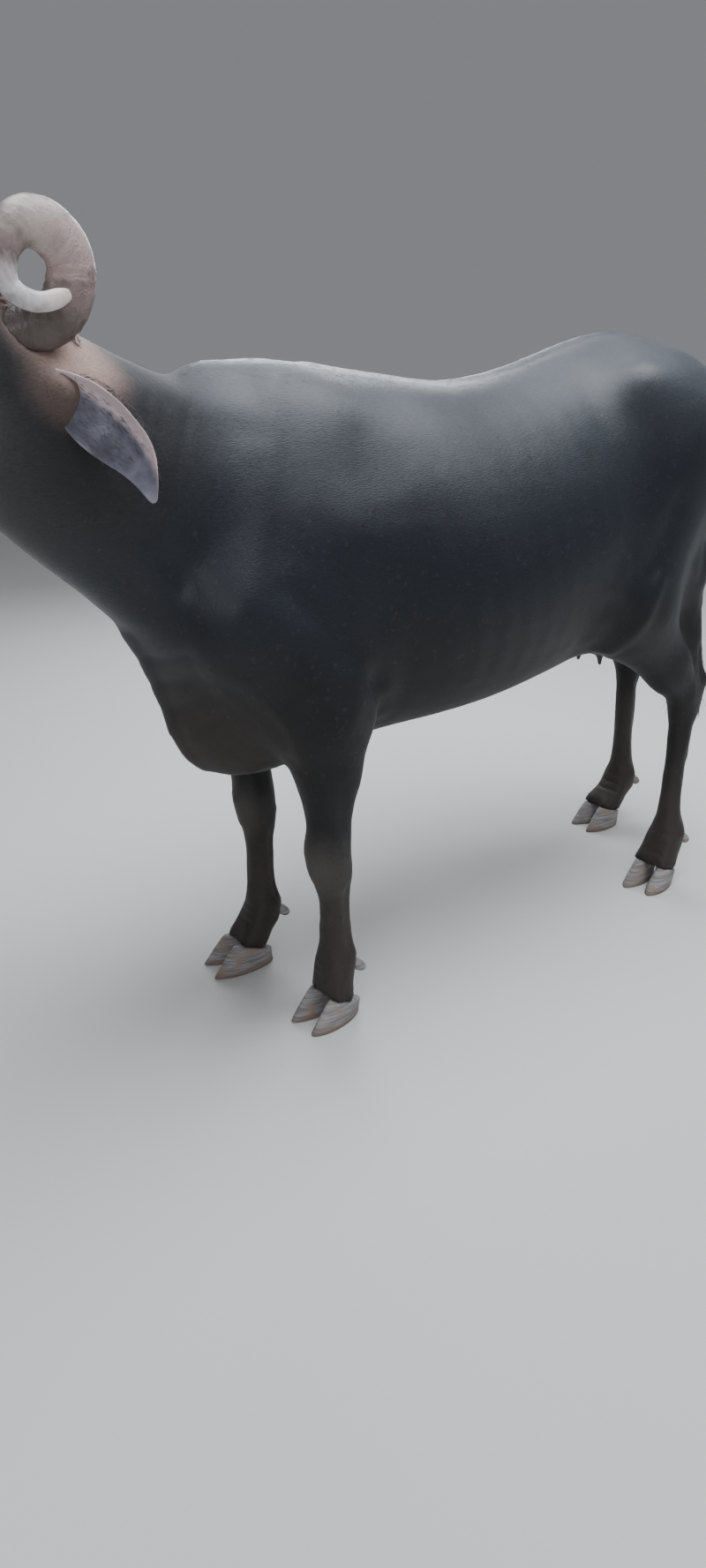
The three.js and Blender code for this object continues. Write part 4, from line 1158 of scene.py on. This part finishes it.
horn_marks, given, result = group_of(
    "horn_marks",
    [("Place", "Vector"), ("Along", "Float")],
    SURFACE,
)
place, along = given.outputs["Place"], given.outputs["Along"]
streaks = noise(horn_marks, stretched(horn_marks, place, (60, 240, 60)), 1.0, 4.0)
wander = calc(horn_marks, "MULTIPLY", calc(horn_marks, "SUBTRACT", streaks, 0.5), 0.10)
colour = ramped(horn_marks, calc(horn_marks, "ADD", along, wander), HORN_STOPS)
grime = between(horn_marks, noise(horn_marks, place, 30, 4.0), 0.46, 0.70)
colour = blended(horn_marks, calc(horn_marks, "MULTIPLY", grime, 0.5), colour, HORN_GRIME)
rings = calc(horn_marks, "SINE", calc(horn_marks, "MULTIPLY", calc(horn_marks, "ADD", along, wander), 300.0))
fresh = between(horn_marks, along, 0.75, 0.3)
grown = calc(horn_marks, "MULTIPLY", calc(horn_marks, "MULTIPLY", rings, 0.3), fresh)
relief = calc(horn_marks, "ADD", grown, streaks)
bump = node_in(horn_marks, "Bump", [("Strength", 0.6), ("Distance", 0.0014), ("Height", relief)])
rough = between(horn_marks, streaks, -0.6, 1.6)
put_out(horn_marks, result, colour, rough, bump)
HORN = finish_with("horn", horn_marks, [("Place", "place"), ("Along", "along")], {"Coat Weight": 0.12})

hoof_marks, given, result = group_of(
    "hoof_marks",
    [("Place", "Vector")],
    SURFACE,
)
place = given.outputs["Place"]
layers = noise(hoof_marks, stretched(hoof_marks, place, (18, 18, 240), (0, math.radians(16), 0)), 1.0, 3.0)
fibres = noise(hoof_marks, stretched(hoof_marks, place, (170, 170, 14)), 1.0, 3.0)
patches = noise(hoof_marks, place, 34, 4.0)
colour = blended(hoof_marks, between(hoof_marks, layers, 0.35, 0.65), HOOF_DARK, HOOF_PALE)
colour = blended(hoof_marks, between(hoof_marks, patches, 0.50, 0.72), colour, HOOF_DUST)
low = between(hoof_marks, node_in(hoof_marks, "SeparateXYZ", [(0, place)]).outputs["Z"], 0.022, 0.0)
colour = blended(hoof_marks, calc(hoof_marks, "MULTIPLY", low, 0.7), colour, HOOF_EARTH)
relief = calc(hoof_marks, "ADD", layers, calc(hoof_marks, "MULTIPLY", fibres, 0.6))
bump = node_in(hoof_marks, "Bump", [("Strength", 0.7), ("Distance", 0.0016), ("Height", relief)])
rough = between(hoof_marks, patches, -0.9, 1.1)
put_out(hoof_marks, result, colour, rough, bump)
HOOF = finish_with("hoof", hoof_marks, [("Place", "place")], {"Specular IOR Level": 0.4})
for side in ("left", "right"):
    give(pieces["horn_" + side], HORN)
for node in claws:
    give(pieces[node], HOOF)

# %% [markdown]
# Ear: dark skin outside, a pale pinkish band along the upper margin, and inside the cup lavender-grey
# skin with dark blotches. The masks are the place across the leaf and whether the skin faces into the
# cup, since straight coordinates would cut across a bent leaf. Eye: a dark brown ball with a level oval
# pupil, wet under a clear coat.

# %% Ear and eye
EAR_SPINE = ((-14, 81, -20), (-94, 172, -42), (-176, 193, -134))
EAR_HALF = 52
EAR_FACING = Vector((0.55, 0.62, -0.4))
EAR_BENDS = 12
EAR_CURL_FROM = 0.76
EAR_BACK = (0.070, 0.062, 0.066, 1)
EAR_MARGIN = (0.66, 0.53, 0.55, 1)
CUP_DARK = (0.105, 0.105, 0.140, 1)
CUP_PALE = (0.235, 0.240, 0.31, 1)
PUPIL_WIDE = 0.40
PUPIL_TALL = 0.22
PUPIL = (0.002, 0.002, 0.004, 1)
IRIS = (0.045, 0.018, 0.008, 1)
EYE_EDGE = (0.10, 0.06, 0.05, 1)

for name, side in (("left", 1), ("right", -1)):
    ear = pieces["ear_" + name]
    first, bend, last = (head_point(x, side * y, z) for x, y, z in EAR_SPINE)
    line = [
        first * (1 - t) ** 2 + bend * 2 * t * (1 - t) + last * t * t for t in np.linspace(0, 1, EAR_BENDS)
    ]
    co, normal = positions(ear.data), normals_of(ear.data)
    share = share_along(co, line)
    co = smoothed(co, edges_of(ear.data), 14, fade(share, 0.12, 0.34))
    steps = np.linspace(0, 1, EAR_BENDS)
    middle_at = np.stack([np.interp(share, steps, [point[k] for point in line]) for k in range(3)], 1)
    ahead = (last - first) / np.linalg.norm(last - first)
    opening = np.array(HEAD_TURN @ mirrored(EAR_FACING, side))
    opening -= ahead * (opening @ ahead)
    opening /= np.linalg.norm(opening)
    wide = np.cross(opening, ahead) * side
    curl = np.clip((share - EAR_CURL_FROM) / (1 - EAR_CURL_FROM), 0, 1) ** 2
    across = ((co - middle_at) @ wide) * 1000 / EAR_HALF
    roll = np.clip((across - 0.45) / 0.5, 0, 1) * fade(np.abs(share - 0.35), 0.2, 0.5)
    co += curl[:, None] * (opening * 0.020 + np.array((0, 0, -0.012)))
    co += roll[:, None] * (opening * 0.013 - wide * 0.006)
    set_positions(ear.data, co)
    float_attribute(ear, "along", share)
    float_attribute(ear, "across", across)
    float_attribute(ear, "inner", normal @ opening)

ear_marks, given, result = group_of(
    "ear_marks",
    [("Place", "Vector"), ("Along", "Float"), ("Across", "Float"), ("Inner", "Float")],
    SURFACE,
)
place = given.outputs["Place"]
blotch = noise(ear_marks, place, 26, 4.0)
shift_by = calc(ear_marks, "MULTIPLY", calc(ear_marks, "SUBTRACT", blotch, 0.5), 0.5)
cup = between(ear_marks, given.outputs["Inner"], 0.0, 0.35)
inside = blended(ear_marks, between(ear_marks, blotch, 0.34, 0.74), CUP_DARK, CUP_PALE)
colour = blended(ear_marks, cup, EAR_BACK, inside)
upper = between(ear_marks, calc(ear_marks, "ADD", given.outputs["Across"], shift_by), 0.10, 0.44)
colour = blended(ear_marks, upper, colour, EAR_MARGIN)
lower = between(ear_marks, given.outputs["Across"], -0.86, -0.98)
colour = blended(ear_marks, calc(ear_marks, "MULTIPLY", lower, 0.5), colour, (0.40, 0.31, 0.32, 1))
end = between(ear_marks, given.outputs["Along"], 0.90, 1.0)
colour = blended(ear_marks, calc(ear_marks, "MULTIPLY", end, 0.8), colour, (0.22, 0.20, 0.24, 1))
veins = noise(ear_marks, stretched(ear_marks, place, (70, 190, 190)), 1.0, 4.0)
bump = node_in(ear_marks, "Bump", [("Strength", 0.5), ("Distance", 0.0016), ("Height", veins)])
rough = between(ear_marks, veins, -0.5, 1.4)
put_out(ear_marks, result, colour, rough, bump)
ear_feeds = [("Place", "place"), ("Along", "along"), ("Across", "across"), ("Inner", "inner")]
EAR = finish_with("ear_skin", ear_marks, ear_feeds, {"Subsurface Weight": 0.08, "Subsurface Scale": 0.004})

eye_marks, given, result = group_of(
    "eye_marks",
    [("Across", "Float"), ("Upward", "Float"), ("Front", "Float")],
    [("Colour", "Color")],
)
a = calc(eye_marks, "DIVIDE", given.outputs["Across"], PUPIL_WIDE)
b = calc(eye_marks, "DIVIDE", given.outputs["Upward"], PUPIL_TALL)
squares = calc(eye_marks, "ADD", calc(eye_marks, "POWER", a, 2.0), calc(eye_marks, "POWER", b, 2.0))
oval_at = calc(eye_marks, "SQRT", squares)
colour = blended(eye_marks, between(eye_marks, oval_at, 0.85, 1.05), PUPIL, IRIS)
rim = between(eye_marks, given.outputs["Front"], 0.72, 0.60)
colour = blended(eye_marks, rim, colour, EYE_EDGE)
eye_marks.links.new(colour, result.inputs["Colour"])
eye_feeds = [("Across", "across"), ("Upward", "upward"), ("Front", "front")]
wet_coat = {"Roughness": 0.12, "Coat Weight": 1.0, "Coat Roughness": 0.03}
EYE = finish_with("eye", eye_marks, eye_feeds, wet_coat)
for side in ("left", "right"):
    give(pieces["ear_" + side], EAR)
    give(pieces["eye_" + side], EYE)
    give(ear_coats[side], EAR)

# %% [markdown]
# Studio: a plain pale floor and soft light, with a broad cool lamp above for the sheen on the back. A sky
# image would colour the hide, so three soft lamps and an even world are used.

# %% Lights, world and floor


def area_light(name, place, target, size, power, color=(1, 1, 1)):
    data = bpy.data.lights.new(name, "AREA")
    data.shape = "DISK"
    data.size = size
    data.energy = power
    data.color = color
    lamp = bpy.data.objects.new(name, data)
    lamp.location = place
    lamp.rotation_mode = "QUATERNION"
    lamp.rotation_quaternion = (Vector(target) - Vector(place)).to_track_quat("-Z", "Y")
    scene.collection.objects.link(lamp)


area_light("sky_light", (-0.8, 0.6, 4.2), (-0.1, 0, 1.0), 3.6, 270, (0.90, 0.95, 1.0))
area_light("front_light", (3.4, 3.6, 2.6), (0.2, 0, 0.9), 2.2, 60, (0.95, 0.97, 1.0))
area_light("far_rim", (-2.2, -3.2, 3.0), (0, 0, 1.0), 2.4, 110, (0.92, 0.96, 1.0))
world = bpy.data.worlds.new("studio")
world.use_nodes = True
world.node_tree.nodes["Background"].inputs["Color"].default_value = (0.82, 0.85, 0.90, 1)
world.node_tree.nodes["Background"].inputs["Strength"].default_value = 0.27
scene.world = world

floor_mesh = bmesh.new()
bmesh.ops.create_grid(floor_mesh, x_segments=1, y_segments=1, size=14)
floor = object_from(floor_mesh, "floor")
pale = bpy.data.materials.new("floor_pale")
pale.use_nodes = True
pale.node_tree.nodes["Principled BSDF"].inputs["Base Color"].default_value = (0.62, 0.61, 0.59, 1)
pale.node_tree.nodes["Principled BSDF"].inputs["Roughness"].default_value = 0.8
give(floor, pale)
